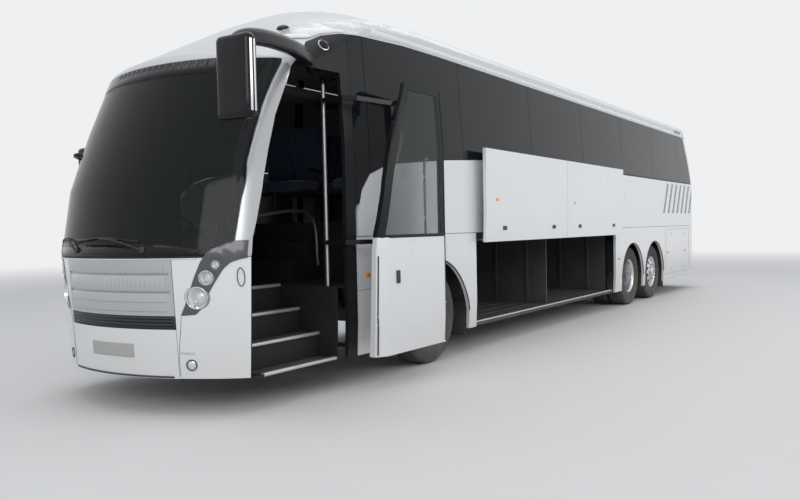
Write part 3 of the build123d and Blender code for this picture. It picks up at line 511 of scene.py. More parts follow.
def sweep(name, points, half, material, body="coach_body", curved=True, sides=12, power=2.0,
          closed=False, up=(0, 0, 1)):
    """A bar along a line; half is a radius, (half width, half height) or a function for them."""
    path = curved_path(points) if curved and not closed else [Vector(p) for p in points]
    verts = []
    count = len(path)
    for i, p in enumerate(path):
        before = path[i - 1] if i or closed else p
        after = path[(i + 1) % count] if i < count - 1 or closed else p
        run = (after - before).normalized()
        side = run.cross(Vector(up))
        side = side.normalized() if side.length > 1e-4 else Vector((1, 0, 0))
        top = side.cross(run)
        w, h = half_at(half, i / (count - 1))
        for t in ring_angles(sides, 0.5):
            c, s = cos(t), sin(t)
            a = copysign(abs(c) ** (2 / power), c) * w
            b = copysign(abs(s) ** (2 / power), s) * h
            verts.append(p + side * a + top * b)
    faces = []
    for i in range(count if closed else count - 1):
        here, there = i * sides, (i + 1) % count * sides
        for k in range(sides):
            n = (k + 1) % sides
            faces.append((here + k, there + k, there + n, here + n))
    if not closed:
        faces.append(tuple(range(sides)))
        faces.append(tuple(reversed(range((count - 1) * sides, count * sides))))
    return from_points(name, verts, faces, material, body, 50)


def sweep_on(name, view, points, half, material, body="coach_body", lift=0.0, sides=10, **options):
    """A bar along a line on a shell."""
    placed = [on_shell(view, a, b, lift)[0] for a, b in points]
    return sweep(name, placed, half, material, body, sides=sides, **options)


# Where a rounded edge is cut, in shares of its radius
ROUND_CUTS = (0, 0.38, 0.72)


def cut_box(size, spacing, radius):
    """A box cut into a grid and rounded, as a bmesh centred on the origin."""
    half = Vector(size) / 2
    work = bmesh.new()
    bmesh.ops.create_cube(work, size=1.0, matrix=Matrix.Diagonal((*size, 1)))
    for axis in range(3):
        normal = Vector([1.0 if k == axis else 0.0 for k in range(3)])
        inner = half[axis] - radius
        places = [sign * (inner + radius * share) for sign in (-1, 1) for share in ROUND_CUTS]
        count = max(1, round(2 * inner / spacing))
        places += [-inner + 2 * inner * k / count for k in range(1, count)]
        for place in places:
            cut_through(work, normal * place, normal)
    for v in work.verts:
        core = Vector([max(-half[k] + radius, min(half[k] - radius, v.co[k])) for k in range(3)])
        out = v.co - core
        if out.length > 1e-7:
            v.co = core + out.normalized() * radius
    return work


def put(work, centre, turn):
    """Moves a bmesh to a centre and turns it by degrees about X, Y and Z."""
    turned = Euler([radians(t) for t in turn]).to_matrix().to_4x4()
    work.transform(Matrix.Translation(centre) @ turned)


def block(name, centre, size, radius, material, body="coach_body", turn=(0, 0, 0), spacing=0.4):
    work = cut_box(size, spacing, radius)
    put(work, centre, turn)
    return from_bmesh(name, work, material, body, 60)


def block_on(name, view, a, b, lift, size, material, body="coach_body"):
    """A small block on a shell."""
    place, normal = on_shell(view, a, b)
    return block(name, place + normal * lift, size, 0.006, material, body)


def joined(name, pieces, body):
    """Small pieces of one finish as one piece."""
    work = bmesh.new()
    for piece in pieces:
        work.from_mesh(piece.data)
    material = pieces[0].data.materials[0]
    for piece in pieces:
        bpy.data.objects.remove(piece)
    return from_bmesh(name, work, material, body, 38)


# Wheels
def both_halves(half):
    """A closed profile from the half on one side of its middle."""
    return half + [(-a, r) for a, r in reversed(half)] + [half[0]]


RIM_X = 1.045
TWIN_X = 0.715
AXLE_Z = 0.52
# Columns: name in the record, place along, twin
AXLES = [("front", -4.2, False), ("drive", 2.84, True), ("tag", 4.24, False)]
# Half a tyre; columns here and in the next tables: distance out from the middle, radius
TYRE_HALF = [
    (0.098, 0.2935), (0.118, 0.2945), (0.131, 0.306), (0.139, 0.327), (0.1445, 0.352),
    (0.1445, 0.356), (0.1465, 0.358), (0.1485, 0.392), (0.149, 0.415), (0.1475, 0.418),
    (0.1465, 0.445), (0.143, 0.472), (0.1375, 0.492), (0.131, 0.504), (0.122, 0.5125),
    (0.112, 0.5165), (0.084, 0.5185), (0.0825, 0.504), (0.0725, 0.504), (0.071, 0.5193),
    (0.031, 0.52), (0.0295, 0.505), (0.0195, 0.505), (0.018, 0.52),
]
# Depth of the shoulder notches by row of TYRE_HALF, at every fourth segment
SHOULDER_NOTCH = {12: 0.003, 13: 0.007, 14: 0.007, 15: 0.007}
BARREL_HALF = [
    (0.11, 0.2905), (0.1175, 0.2985), (0.1205, 0.2945), (0.117, 0.2845), (0.1, 0.2655),
    (0.088, 0.2625),
]
DEEP_BARREL = [
    (0.11, 0.2905), (0.1175, 0.2985), (0.1205, 0.2945), (0.117, 0.2835), (0.098, 0.264),
    (0.085, 0.2615), (-0.098, 0.248), (-0.108, 0.262), (-0.117, 0.2845), (-0.1205, 0.2945),
    (-0.1175, 0.2985), (-0.11, 0.2905), (0.11, 0.2905),
]
INNER_BARREL = [
    (0.11, 0.2905), (0.1175, 0.2985), (0.117, 0.2845), (0.1, 0.2655), (0.09, 0.2475),
    (0.14, 0.17), (0.14, 0.115), (0.128, 0.115), (0.128, 0.165), (0.07, 0.25), (-0.1, 0.2655),
    (-0.117, 0.2845), (-0.1175, 0.2985), (-0.11, 0.2905), (0.11, 0.2905),
]
HUB_CAP = [
    (0.128, 0.098), (0.146, 0.096), (0.15, 0.088), (0.16, 0.084), (0.165, 0.074), (0.166, 0.0),
]
DEEP_HUB = [
    (-0.14, 0.128), (-0.118, 0.126), (-0.11, 0.112), (-0.062, 0.108), (-0.04, 0.098),
    (-0.03, 0.07), (-0.029, 0.0),
]
NUT = [
    (-0.002, 0.0215), (0.003, 0.0215), (0.004, 0.0175), (0.022, 0.0175), (0.025, 0.0155),
    (0.025, 0.0105), (0.031, 0.01), (0.032, 0.0),
]
# Columns: radius, distance out
DISC_RISE = [(0.088, 0.134), (0.172, 0.134), (0.185, 0.131), (0.248, 0.101), (0.2625, 0.094)]
DEEP_RISE = [(0.11, -0.135), (0.172, -0.135), (0.185, -0.131), (0.235, -0.104), (0.2465, -0.098)]
# Columns: barrel, hub, finish of the hub, disc, how far the valve stands out
SINGLE_WHEEL = (both_halves(BARREL_HALF), HUB_CAP, ALLOY, DISC_RISE, 0.1)
TWIN_WHEEL = (DEEP_BARREL, DEEP_HUB, GLOSS_BLACK, DEEP_RISE, -0.1)
HOLES_PER_DISC = 10
HAND_HOLE_R = 0.0265
HAND_HOLE_RING = 0.2165
NUT_RING = 0.1425
DISC_THICKNESS = 0.013


def between(rows, value):
    for (a0, b0), (a1, b1) in zip(rows, rows[1:]):
        if value <= a1:
            return b0 + (b1 - b0) * max(0.0, (value - a0) / (a1 - a0))
    return rows[-1][1]


def tyre(name, x, y, side, body):
    rows = 2 * len(TYRE_HALF)

    def wave(k, j):
        return SHOULDER_NOTCH.get(min(j, rows - 1 - j), 0.0) if k % 4 == 0 else 0.0

    centre = (side * x, y, AXLE_Z)
    return lathe(name, both_halves(TYRE_HALF), 144, centre, (side, 0, 0), TYRE, body, 32, wave)


def disc(name, rise, y, side, body):
    """A wheel disc with ten round hand holes."""
    inner, outer = rise[0][0], rise[-1][0]
    holes = [(HAND_HOLE_RING * cos(t), HAND_HOLE_RING * sin(t), HAND_HOLE_R, 20)
             for t in ring_angles(HOLES_PER_DISC, 0.5)]
    holes.append((0.0, 0.0, inner, 48))
    verts, faces = flat_mesh(ring_points(0.0, 0.0, outer, 72), holes, 0.0155)
    points = [Vector((side * (RIM_X + between(rise, v.length)), y + v.x, AXLE_Z + v.y))
              for v in verts]
    piece = from_points(name, points, faces, ALLOY, body, 40, facing=Vector((side, 0, 0)))
    add_wall(piece, DISC_THICKNESS, -1, 0.002)


def nuts(name, seat, y, side, body):
    profile = [(seat + a, r) for a, r in NUT]
    pieces = []
    for k, t in enumerate(ring_angles(HOLES_PER_DISC)):
        place = (side * RIM_X, y + NUT_RING * cos(t), AXLE_Z + NUT_RING * sin(t))
        pieces.append(lathe(f"{name}_{k}", profile, 6, place, (side, 0, 0), STEEL, body))
    joined(name, pieces, body)


def make_wheels():
    for axle, y, twin in AXLES:
        for side, tag in SIDES:
            name = f"{axle}_{tag}"
            body = "wheel_" + name
            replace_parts(tyre("tread_" + name, RIM_X, y, side, body), "tyre_" + name)
            centre = (side * RIM_X, y, AXLE_Z)
            out = (side, 0, 0)
            barrel_rows, hub, hub_finish, rise, valve_out = TWIN_WHEEL if twin else SINGLE_WHEEL
            barrel = lathe("barrel_" + name, barrel_rows, 96, centre, out, ALLOY, body)
            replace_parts(barrel, "rim_" + name)
            lathe("hub_" + name, hub, 48, centre, out, hub_finish, body)
            disc("disc_" + name, rise, y, side, body)
            nuts("nuts_" + name, rise[0][1], y, side, body)
            valve = (side * (RIM_X + valve_out), y + 0.2, AXLE_Z + 0.14)
            end = (valve[0] + side * 0.05, valve[1] + 0.012, valve[2] + 0.008)
            sweep("valve_" + name, [valve, end], 0.004, BRIGHT, body, curved=False, sides=8)
            if twin:
                tyre("inner_tread_" + name, TWIN_X, y, side, body)
                centre = (side * TWIN_X, y, AXLE_Z)
                lathe("inner_barrel_" + name, INNER_BARREL, 72, centre, out, STEEL, body)


# Seats
FLOOR = 1.55
CAB_FLOOR = 0.95
SEAT_ROWS = 14
FIRST_SEAT_Y = -4.45
SEAT_STEP = 0.79
PAIR_X = 0.68
HALF_PAIR = 0.22
DRIVER_X = -0.6
DRIVER_Y = -5.56
# A double seat's frame; columns: name, out, back, height, size, radius, tilt in degrees
SEAT_FRAME = [
    ("pan", PAIR_X, 0, 0.36, (0.86, 0.4, 0.035), 0.012, 0),
    ("leg", PAIR_X, 0, 0.175, (0.06, 0.3, 0.35), 0.012, 0),
    ("foot", PAIR_X, 0, 0.012, (0.09, 0.38, 0.024), 0.008, 0),
    ("shell", PAIR_X, 0.292, 0.72, (0.8, 0.016, 0.6), 0.007, -12),
    ("arm", 0.235, 0.08, 0.6, (0.045, 0.36, 0.035), 0.015, -4),
]
# A seat's cushions; columns: name, back, height, share of the width, depth and thickness,
# then radius, crown, tilt in degrees, stitched channels
SEAT_CUSHIONS = [
    ("squab", -0.03, 0.425, 1, (0.42, 0.11), (0.04, 0.018, 3, 3)),
    ("back", 0.235, 0.79, 1, (0.66, 0.1), (0.04, 0.016, 102, 4)),
    ("rest", 0.31, 1.065, 0.62, (0.13, 0.115), (0.045, 0.012, 102, 1)),
]
CHANNEL_DEPTH = 0.007
CHANNEL_WIDTH = 0.07
SIDE_WAVE = 0.006


def cushion(name, centre, size, radius, crown, tilt, channels):
    """A stuffed form: rounded, crowned on its show face, with stitched channels across it."""
    work = cut_box(size, 0.05, radius)
    half = Vector(size) / 2
    for v in work.verts:
        u, w = v.co.x / half.x, v.co.y / half.y
        face = max(0.0, v.co.z / half.z)
        swell = crown * (1 - u * u) * (1 - w * w)
        groove = 0.0
        for k in range(channels):
            place = -0.5 + k / max(1, channels - 1)
            groove += CHANNEL_DEPTH * exp(-((w - place) / CHANNEL_WIDTH) ** 2)
        v.co.z += face * (swell - groove * (1 - u ** 6))
        v.co.x += SIDE_WAVE * sin(3 * w) * u * abs(u)
    put(work, centre, (tilt, 0, 0))
    piece = from_bmesh(name, work, CLOTH, "coach_body", 70)
    return piece


def make_seat(name, x, y, z, width):
    """A seat's cushions; gives the squab."""
    made = []
    for part, back, height, share, size, form in SEAT_CUSHIONS:
        centre = (x, y + back, z + height)
        made.append(cushion(f"{name}_{part}", centre, (width * share, *size), *form))
    return made[0]


def make_seats():
    first = None
    for row, y in enumerate(spread(FIRST_SEAT_Y, SEAT_STEP, SEAT_ROWS)):
        for side in (-1, 1):
            for k in (-1, 1):
                x = side * PAIR_X + k * HALF_PAIR
                squab = make_seat(f"seat_{row}_{side + 1}_{k + 1}", x, y, FLOOR, 0.425)
                first = first or squab
            name = f"seat_base_{row}_{side + 1}"
            parts = []
            for part, out, back, height, size, radius, tilt in SEAT_FRAME:
                place = (side * out, y + back, FLOOR + height)
                turn = (tilt, 0, 0)
                parts.append(block(f"{name}_{part}", place, size, radius, PLASTIC, turn=turn))
            joined(name, parts, "coach_body")
    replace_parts(first, "seats")
    squab = make_seat("driver", DRIVER_X, DRIVER_Y, CAB_FLOOR, 0.47)
    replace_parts(squab, "driver_seat")
    block("driver_base", (DRIVER_X, DRIVER_Y, CAB_FLOOR + 0.18), (0.3, 0.34, 0.36), 0.03, PLASTIC)
    block("driver_shell", (DRIVER_X, -5.262, CAB_FLOOR + 0.74), (0.46, 0.02, 0.64), 0.008, PLASTIC,
          turn=(-12, 0, 0))


# Steering wheel and cab
WHEEL_RAKE = radians(35)
WHEEL_RING = 0.217
WHEEL_GRIP = 0.013
DIAL = [(-0.01, 0.034), (0.006, 0.034), (0.008, 0.03), (0.004, 0.028), (0.004, 0.0)]
CAB_RAIL = [(0.33, -6.3, 0.96), (0.36, -6.3, 1.5), (0.36, -5.9, 1.62), (0.36, -5.2, 1.62),
            (0.33, -5.05, 1.1)]
STAIR_RAIL = [(0.95, -6.83, 0.8), (0.93, -6.815, 1.3), (0.85, -6.81, 1.5), (0.62, -6.72, 1.55),
              (0.45, -6.66, 1.42)]


def make_cab():
    hub = Vector((DRIVER_X, -6.15, 1.56))
    axis = Vector((0, sin(WHEEL_RAKE), cos(WHEEL_RAKE)))
    rim = [(WHEEL_GRIP * sin(t), WHEEL_RING + WHEEL_GRIP * cos(t))
           for t in ring_angles(14)]
    ring = lathe("wheel_rim", rim + [rim[0]], 64, hub, axis, RUBBER, "handwheel", 60)
    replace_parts(ring, "steering_wheel")
    boss = [(-0.02, 0.058), (0.006, 0.062), (0.014, 0.05), (0.018, 0.0)]
    lathe("wheel_boss", boss, 32, hub, axis, PLASTIC, "handwheel")
    _, side, up = basis(axis)
    for k, t in enumerate(spread(0.5, pi / 2, 4)):
        out = side * cos(t) + up * sin(t)
        points = [hub + out * 0.05 - axis * 0.006, hub + out * 0.13 - axis * 0.004,
                  hub + out * 0.208]
        sweep(f"wheel_spoke_{k}", points, (0.016, 0.006), PLASTIC, "handwheel", up=tuple(axis))
    block("instrument_hood", (DRIVER_X, -6.545, 1.475), (0.5, 0.16, 0.09), 0.035, PLASTIC,
          turn=(-14, 0, 0))
    block("ticket_desk", (0.2, -6.545, 1.44), (0.26, 0.2, 0.11), 0.03, PLASTIC, turn=(-8, 0, 0))
    for k, x in enumerate(spread(-0.85, 0.1, 6)):
        lathe(f"dial_{k}", DIAL, 24, (x, -6.492, 1.434), (0, 1, 0.5), GLOSS_BLACK)
    sweep("cab_rail", CAB_RAIL, 0.017, STEEL)
    sweep("stair_rail", STAIR_RAIL, 0.016, STEEL)


# Mirrors
NEAR_ARM = [
    (1.075, -5.985, 2.925), (1.19, -6.2, 2.948), (1.33, -6.55, 2.95), (1.45, -6.95, 2.925),
    (1.515, -7.22, 2.885), (1.54, -7.37, 2.83), (1.545, -7.41, 2.76),
]
OFF_ARM = [
    (-1.12, -6.688, 2.23), (-1.2, -6.77, 2.235), (-1.3, -6.74, 2.235), (-1.42, -6.58, 2.225),
    (-1.49, -6.49, 2.2),
]
# Columns: name, centre, size, radius, finish, grid spacing
MIRROR_BLOCKS = [
    ("near_head", (1.545, -7.41, 2.56), (0.33, 0.108, 0.6), 0.048, GLOSS_BLACK, 0.08),
    ("near_head_frame", (1.545, -7.362, 2.545), (0.292, 0.02, 0.522), 0.009, PLASTIC, 0.15),
    ("near_head_trim", (1.7075, -7.412, 2.56), (0.004, 0.055, 0.5), 0.0018, BRIGHT, 0.2),
    ("near_wide_rim", (1.545, -7.351, 2.365), (0.27, 0.008, 0.13), 0.0035, PLASTIC, 0.4),
    ("off_head", (-1.5, -6.47, 2.15), (0.2, 0.098, 0.4), 0.042, GLOSS_BLACK, 0.06),
    ("off_head_frame", (-1.5, -6.424, 2.15), (0.166, 0.014, 0.356), 0.006, PLASTIC, 0.4),
]


def near_arm_half(share):
    return 0.052 - 0.006 * share, 0.072 - 0.014 * share


def make_mirrors():
    piece = sweep("near_arm", NEAR_ARM, near_arm_half, GLOSS_BLACK, sides=20, power=2.6)
    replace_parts(piece, "mirrors")
    block("near_foot", (1.1, -6.02, 2.93), (0.1, 0.2, 0.13), 0.045, GLOSS_BLACK,
          turn=(0, 0, 28), spacing=0.05)
    sweep("off_arm", OFF_ARM, (0.02, 0.022), GLOSS_BLACK, sides=16, power=2.4)
    for name, centre, size, radius, material, spacing in MIRROR_BLOCKS:
        block(name, centre, size, radius, material, spacing=spacing)


# Front mask: outline of the dark fairing round the lamps, as distance across and height
FAIRING_NEAR = [
    (0.71, 0.81), (0.77, 0.813), (0.825, 0.818), (0.868, 0.86), (0.915, 0.962), (0.965, 1.055),
    (1.03, 1.168), (1.085, 1.226), (1.15, 1.252), (1.19, 1.262), (1.19, 1.4), (1.115, 1.398),
    (1.045, 1.375), (0.94, 1.322), (0.881, 1.232), (0.83, 1.115), (0.794, 1.015), (0.745, 0.885),
]
# Columns: distance across, height, radius, depth
LAMPS_NEAR = [
    (0.841, 0.951, 0.089, 0.09), (0.916, 1.11, 0.058, 0.07), (0.985, 1.212, 0.035, 0.04),
]
FOG_PLACE = (0.766, 0.412)
FOG_RING = [(-0.004, 0.047), (0.005, 0.046), (0.006, 0.038), (-0.006, 0.036), (-0.004, 0.047)]
FOG_LENS = [(-0.002, 0.037), (0.002, 0.03), (0.0045, 0.016), (0.005, 0.0)]
LAMP_SLOT = [(0.682, 0.503), (0.795, 0.497), (0.797, 0.527), (0.682, 0.541)]
OVAL_TRIM = [(1.146 + 0.022 * cos(t), 1.11 + 0.072 * sin(t)) for t in ring_angles(24)]
CORNER_SEAM = [(0.672, 0.32), (0.674, 0.5), (0.7, 0.7), (0.71, 0.8)]
# The dark band in the mask: its foot and top, and how far it lies back
BAND_FOOT = 0.685
BAND_TOP = 0.82
BAND_BACK = 0.012
SCREEN_FOOT = [
    (-0.99, 1.285), (0.86, 1.285), (0.9, 1.325), (0.6, 1.372), (0.0, 1.38), (-0.6, 1.372),
    (-0.99, 1.35),
]
SCREEN_HEAD = [(-0.98, 2.8), (0.98, 2.8), (0.93, 2.93), (-0.93, 2.93)]
# Columns: place across of the pivot, reach of the blade
WIPERS = [(0.42, -0.86), (-0.42, -0.5)]
WIPER_PIVOT = [(-0.01, 0.026), (0.018, 0.025), (0.026, 0.016), (0.028, 0.0)]
PIVOT_Z = 1.335


def lamp_unit(name, a, b, radius, depth):
    """A bright bowl, a bulb shield and a bezel behind a round lens."""
    place, normal = on_shell("front", a, b)
    out = (normal + Vector((0, -1.2, 0))).normalized()
    bowl = [(-0.006, radius * 0.98), (-0.015, radius * 0.9), (-depth * 0.5, radius * 0.66),
            (-depth * 0.8, radius * 0.4), (-depth * 0.82, 0.0)]
    lathe(name + "_bowl", bowl, 40, place, out, CHROME)
    lens = [(-depth * 0.55, radius * 0.62), (-depth * 0.3, radius * 0.55),
            (-depth * 0.18, radius * 0.38), (-depth * 0.12, 0.0)]
    lathe(name + "_projector", lens, 32, place, out, GLOW)
    ring = [(-0.004, radius), (0.004, radius * 1.01), (0.006, radius * 0.97),
            (0.004, radius * 0.93), (-0.004, radius * 0.93), (-0.004, radius)]
    lathe(name + "_bezel", ring, 48, place + normal * 0.003, normal, BRIGHT)


def band_place(a, b):
    low = on_shell("front", a, BAND_FOOT)[0]
    high = on_shell("front", a, BAND_TOP)[0]
    share = (b - BAND_FOOT) / (BAND_TOP - BAND_FOOT)
    return low.lerp(high, share) + Vector((0, BAND_BACK, 0))


def make_lamps():
    for side, tag in SIDES:
        lamps = on_side(side, LAMPS_NEAR)
        skin_patch("fairing_" + tag, on_side(side, FAIRING_NEAR), "front", FAIRING, thick=0.004,
                   holes=[lamp[:3] for lamp in lamps], step=0.03, bevel=0.0015)
        for k, lamp in enumerate(lamps):
            lamp_unit(f"lamp_{tag}_{k}", *lamp)
        a, b = side * FOG_PLACE[0], FOG_PLACE[1]
        lathe_on("fog_ring_" + tag, "front", a, b, FOG_RING, 36, PLASTIC)
        lathe_on("fog_lens_" + tag, "front", a, b, FOG_LENS, 36, GLOW)
        skin_patch("lamp_slot_" + tag, on_side(side, LAMP_SLOT), "front", GLOW, thick=0.004,
                   bevel=0.001)
        sweep_on("oval_trim_" + tag, "front", on_side(side, OVAL_TRIM), 0.0035, PLASTIC,
                 lift=0.001, closed=True)
        sweep_on("corner_seam_" + tag, "front", on_side(side, CORNER_SEAM), 0.002, RUBBER)


def make_mask():
    band = rectangle(-0.655, 0.7, 0.655, 0.803)
    skin_patch("mask_band", band, "front", PLASTIC, thick=0.004, place=band_place)
    for k, z in enumerate(spread(0.722, 0.028, 3)):
        points = [band_place(a, z) + Vector((0, -0.006, 0)) for a in spread(-0.64, 0.128, 11)]
        sweep(f"mask_slat_{k}", points, (0.007, 0.005), GLOSS_BLACK)
    across = spread(-0.62, 0.124, 11)
    for z in (0.995, 1.14):
        points = [on_shell("front", a, z)[0] + Vector((0, 0.004, 0)) for a in across]
        sweep(f"grille_lip_{round(z * 1000)}", points, (0.006, 0.009), GREY_AND_CREASE_SHADE)
    # Columns: name, places across, height, half, finish, lift
    lines = [
        # The two creases are darker grey beads: painted shade in the grooves of the grille
        ("grille_crease_shade_0", spread(-0.6, 0.12, 11), 0.84, 0.0028, GREY_AND_CREASE_SHADE, 0.0),
        ("grille_crease_shade_1", spread(-0.6, 0.12, 11), 0.84 + 0.075, 0.0028, GREY_AND_CREASE_SHADE, 0.0),
        ("grille_top", spread(-0.86, 0.086, 21), 1.262, 0.006, BRIGHT, 0.002),
        ("bumper_lip", across, 0.312, (0.012, 0.008), PLASTIC, 0.0),
        ("screen_rubber", spread(-1.0, 0.1, 20), 1.276, 0.006, RUBBER, 0.0),
    ]
    for name, places, z, half, material, lift in lines:
        sweep_on(name, "front", [(a, z) for a in places], half, material, lift=lift)
    plate = rectangle(-0.26, 0.462, 0.26, 0.572)
    skin_patch("blank_plate", plate, "front", TRIM, thick=0.006, bevel=0.001)
    # Black bands along the foot and the head of the windscreen
    skin_patch("screen_foot", SCREEN_FOOT, "front", GLOSS_BLACK, thick=0.002, step=0.07)
    skin_patch("screen_head", SCREEN_HEAD, "front", GLOSS_BLACK, thick=0.0015, step=0.08)


def make_wipers():
    """Each wiper's pivot, arm, blade and the bridge that holds the blade."""
    for k, (a, reach) in enumerate(WIPERS):
        lathe_on(f"wiper_pivot_{k}", "front", a, PIVOT_Z, WIPER_PIVOT, 24, PLASTIC)
        arm = []
        for t in shares(4):
            rise = 0.09 * sin(pi * 0.5 * t)
            arm.append(on_shell("front", a + reach * 0.55 * t, PIVOT_Z + rise, 0.03 - 0.006 * t)[0])
        sweep(f"wiper_arm_{k}", arm, (0.011, 0.006), PLASTIC, sides=10)
        blade = [(a + reach * (0.05 + 0.95 * t), 1.4 + 0.035 * sin(pi * t))
                 for t in shares(10)]
        sweep_on(f"wiper_blade_{k}", "front", blade, (0.006, 0.008), RUBBER, lift=0.01, sides=8)
        bridge = [(a + reach * (0.3 + 0.5 * t), 1.415 + 0.02 * sin(pi * t))
                  for t in shares(4)]
        sweep_on(f"wiper_bridge_{k}", "front", bridge, (0.006, 0.005), PLASTIC, lift=0.022, sides=8)


# Sides
# Columns: axle place, half opening, top of the arch
ARCHES = [(-4.2, 0.766, 1.127), (2.84, 0.64, 1.107), (4.24, 0.64, 1.107)]
ARCH_FOOT = 0.505
ARCH_LIP_OUT = 0.006
# Outline of the white film over the side glass, as distance along and height
CANTRAIL = [
    (-6.2, 3.16), (-6.02, 3.165), (-5.87, 3.228), (-5.65, 3.275), (-5.4, 3.295),
    (-4.66, 3.335), (-4.0, 3.345), (6.66, 3.345), (6.6, 3.5), (-4.3, 3.5), (-5.0, 3.485),
    (-5.5, 3.44), (-5.9, 3.34),
]
SIDE_LAMP_Y = (2.03, 5.2, 6.6)
LAMP_SIZE = (0.016, 0.09, 0.034)
FLAP_SEAM = rectangle(5.05, 1.33, 6.95, 0.42)
FLAP_LOCKS = ((5.5, 1.24), (6.5, 1.24), (5.5, 0.5), (6.5, 0.5))
FLAP_LOCK = [(-0.002, 0.016), (0.002, 0.015), (0.003, 0.009), (0.003, 0.0)]
CAMERA_POD = [(-0.03, 0.05), (0.006, 0.05), (0.024, 0.044), (0.034, 0.03), (0.036, 0.0)]
CAMERA_RING = [(0.0, 0.056), (0.008, 0.055), (0.01, 0.05), (0.0, 0.049), (0.0, 0.056)]
POD_PLACE = (-5.93, 3.1)
ROOF_DOME = [(-0.02, 0.062), (0.004, 0.061), (0.02, 0.05), (0.029, 0.03), (0.031, 0.0)]
HATCH_Y = (-2.4, 2.6, 5.2)
HATCH_HALF = 0.33
SIDE_END = 7.5


def arch_points(y, half, top):
    rise = top - ARCH_FOOT
    radius = (half ** 2 + rise ** 2) / (2 * rise)
    centre = top - radius
    swing = asin(half / radius)
    lip = radius + ARCH_LIP_OUT
    return [(y + lip * sin(t), centre + lip * cos(t))
            for t in [swing * (k / 12 - 1) for k in range(25)]]


def make_sides():
    for side, tag in SIDES:
        up = (side, 0, 0)
        for k, arch in enumerate(ARCHES):
            sweep_on(f"arch_lip_{tag}_{k}", tag, arch_points(*arch), (0.008, 0.007), RUBBER,
                     lift=-0.001, sides=8, curved=False, up=up)
        for k, y in enumerate(SIDE_LAMP_Y):
            block_on(f"side_lamp_{tag}_{k}", tag, y, 0.86, 0.006, LAMP_SIZE, AMBER)
        # Slanted grey bars towards the back, and louvres over the glass
        for k, y in enumerate(spread(4.86, 0.345, 8)):
            bar = [(y, 1.67), (y + 0.12, 1.67), (y + 0.43, 2.272), (y + 0.31, 2.272)]
            if bar[2][0] < SIDE_END:
                skin_patch(f"bar_{tag}_{k}", bar, tag, BAR_GREY, thick=0.0006, step=0.12)
        for k, y in enumerate(spread(6.02, 0.085, 6)):
            louvre = [(y, 3.372), (y + 0.035, 3.372), (y + 0.055, 3.438), (y + 0.02, 3.438)]
            skin_patch(f"louvre_{tag}_{k}", louvre, tag, PLASTIC, thick=0.001)
        sweep_on(f"flap_seam_{tag}_0", tag, resampled(FLAP_SEAM, 0.2), 0.0022, RUBBER,
                 sides=6, closed=True, up=up)
        for k, (y, z) in enumerate(FLAP_LOCKS):
            lathe_on(f"flap_lock_{tag}_{k}", tag, y, z, FLAP_LOCK, 20, PLASTIC)
        block(f"mudflap_{tag}", (side * RIM_X, 4.935, 0.42), (0.34, 0.012, 0.5), 0.005, RUBBER)
        block(f"front_mudflap_{tag}", (side * 1.02, -3.405, 0.43), (0.3, 0.012, 0.46), 0.005,
              RUBBER)
        foot = [(1.9 + (7.1 - 1.9) * t, 2.338) for t in shares(20)]
        sweep_on(f"glass_foot_{tag}", tag, foot, (0.006, 0.004), RUBBER, sides=8, curved=False)
    block_on("door_side_lamp", "near", -5.448, 1.033, 0.006, (0.016, 0.06, 0.045), AMBER)
    # Blank sign behind the first side pane
    block("blank_sign", (1.1, -4.3, 1.93), (0.05, 1.05, 0.17), 0.012, GLOSS_BLACK)
    block("blank_sign_bracket", (1.06, -4.3, 1.8), (0.03, 0.9, 0.12), 0.008, PLASTIC)


def make_roof():
    """The camera pod over the doorway, a dome, hatch seams and the film over the side glass."""
    lathe_on("camera_pod", "near", *POD_PLACE, CAMERA_POD, 36, GLOSS_BLACK)
    lathe_on("camera_ring", "near", *POD_PLACE, CAMERA_RING, 36, BRIGHT)
    lathe_on("roof_dome", "top", 0.7, -5.93, ROOF_DOME, 36, GLOSS_BLACK)
    for k, y in enumerate(HATCH_Y):
        hatch = rectangle(-HATCH_HALF, y - HATCH_HALF, HATCH_HALF, y + HATCH_HALF)
        sweep_on(f"roof_hatch_seam_{k}", "top", resampled(hatch, 0.066), 0.004, RUBBER,
                 lift=-0.0045, sides=6, closed=True)
    for _, tag in SIDES:
        skin_patch("cantrail_film_" + tag, CANTRAIL, tag, WHITE, thick=0.0008, step=0.09)


# Doors
OFF_HANDLE_X = -1.252
HANDLE_SIZE = (0.016, 0.11, 0.05)
DOOR_GRAB = [
    (1.5, -4.72, 1.05), (1.455, -4.72, 1.1), (1.452, -4.72, 1.6), (1.452, -4.72, 2.1),
    (1.49, -4.72, 2.15),
]
SEAL_FOOT = 0.32
SEAL_IN = 0.012
# Entrance steps; columns: place across of the nosing, height, front end
STEPS = [(1.145, 0.3, -6.8), (0.95, 0.517, -6.875), (0.72, 0.734, -6.875), (0.49, 0.95, -6.875)]
STEP_REAR = -5.845
POST_FOOT = (1.0078, -5.7515, 0.45)
POST_HEAD = (1.0078, -5.7515, 2.8)


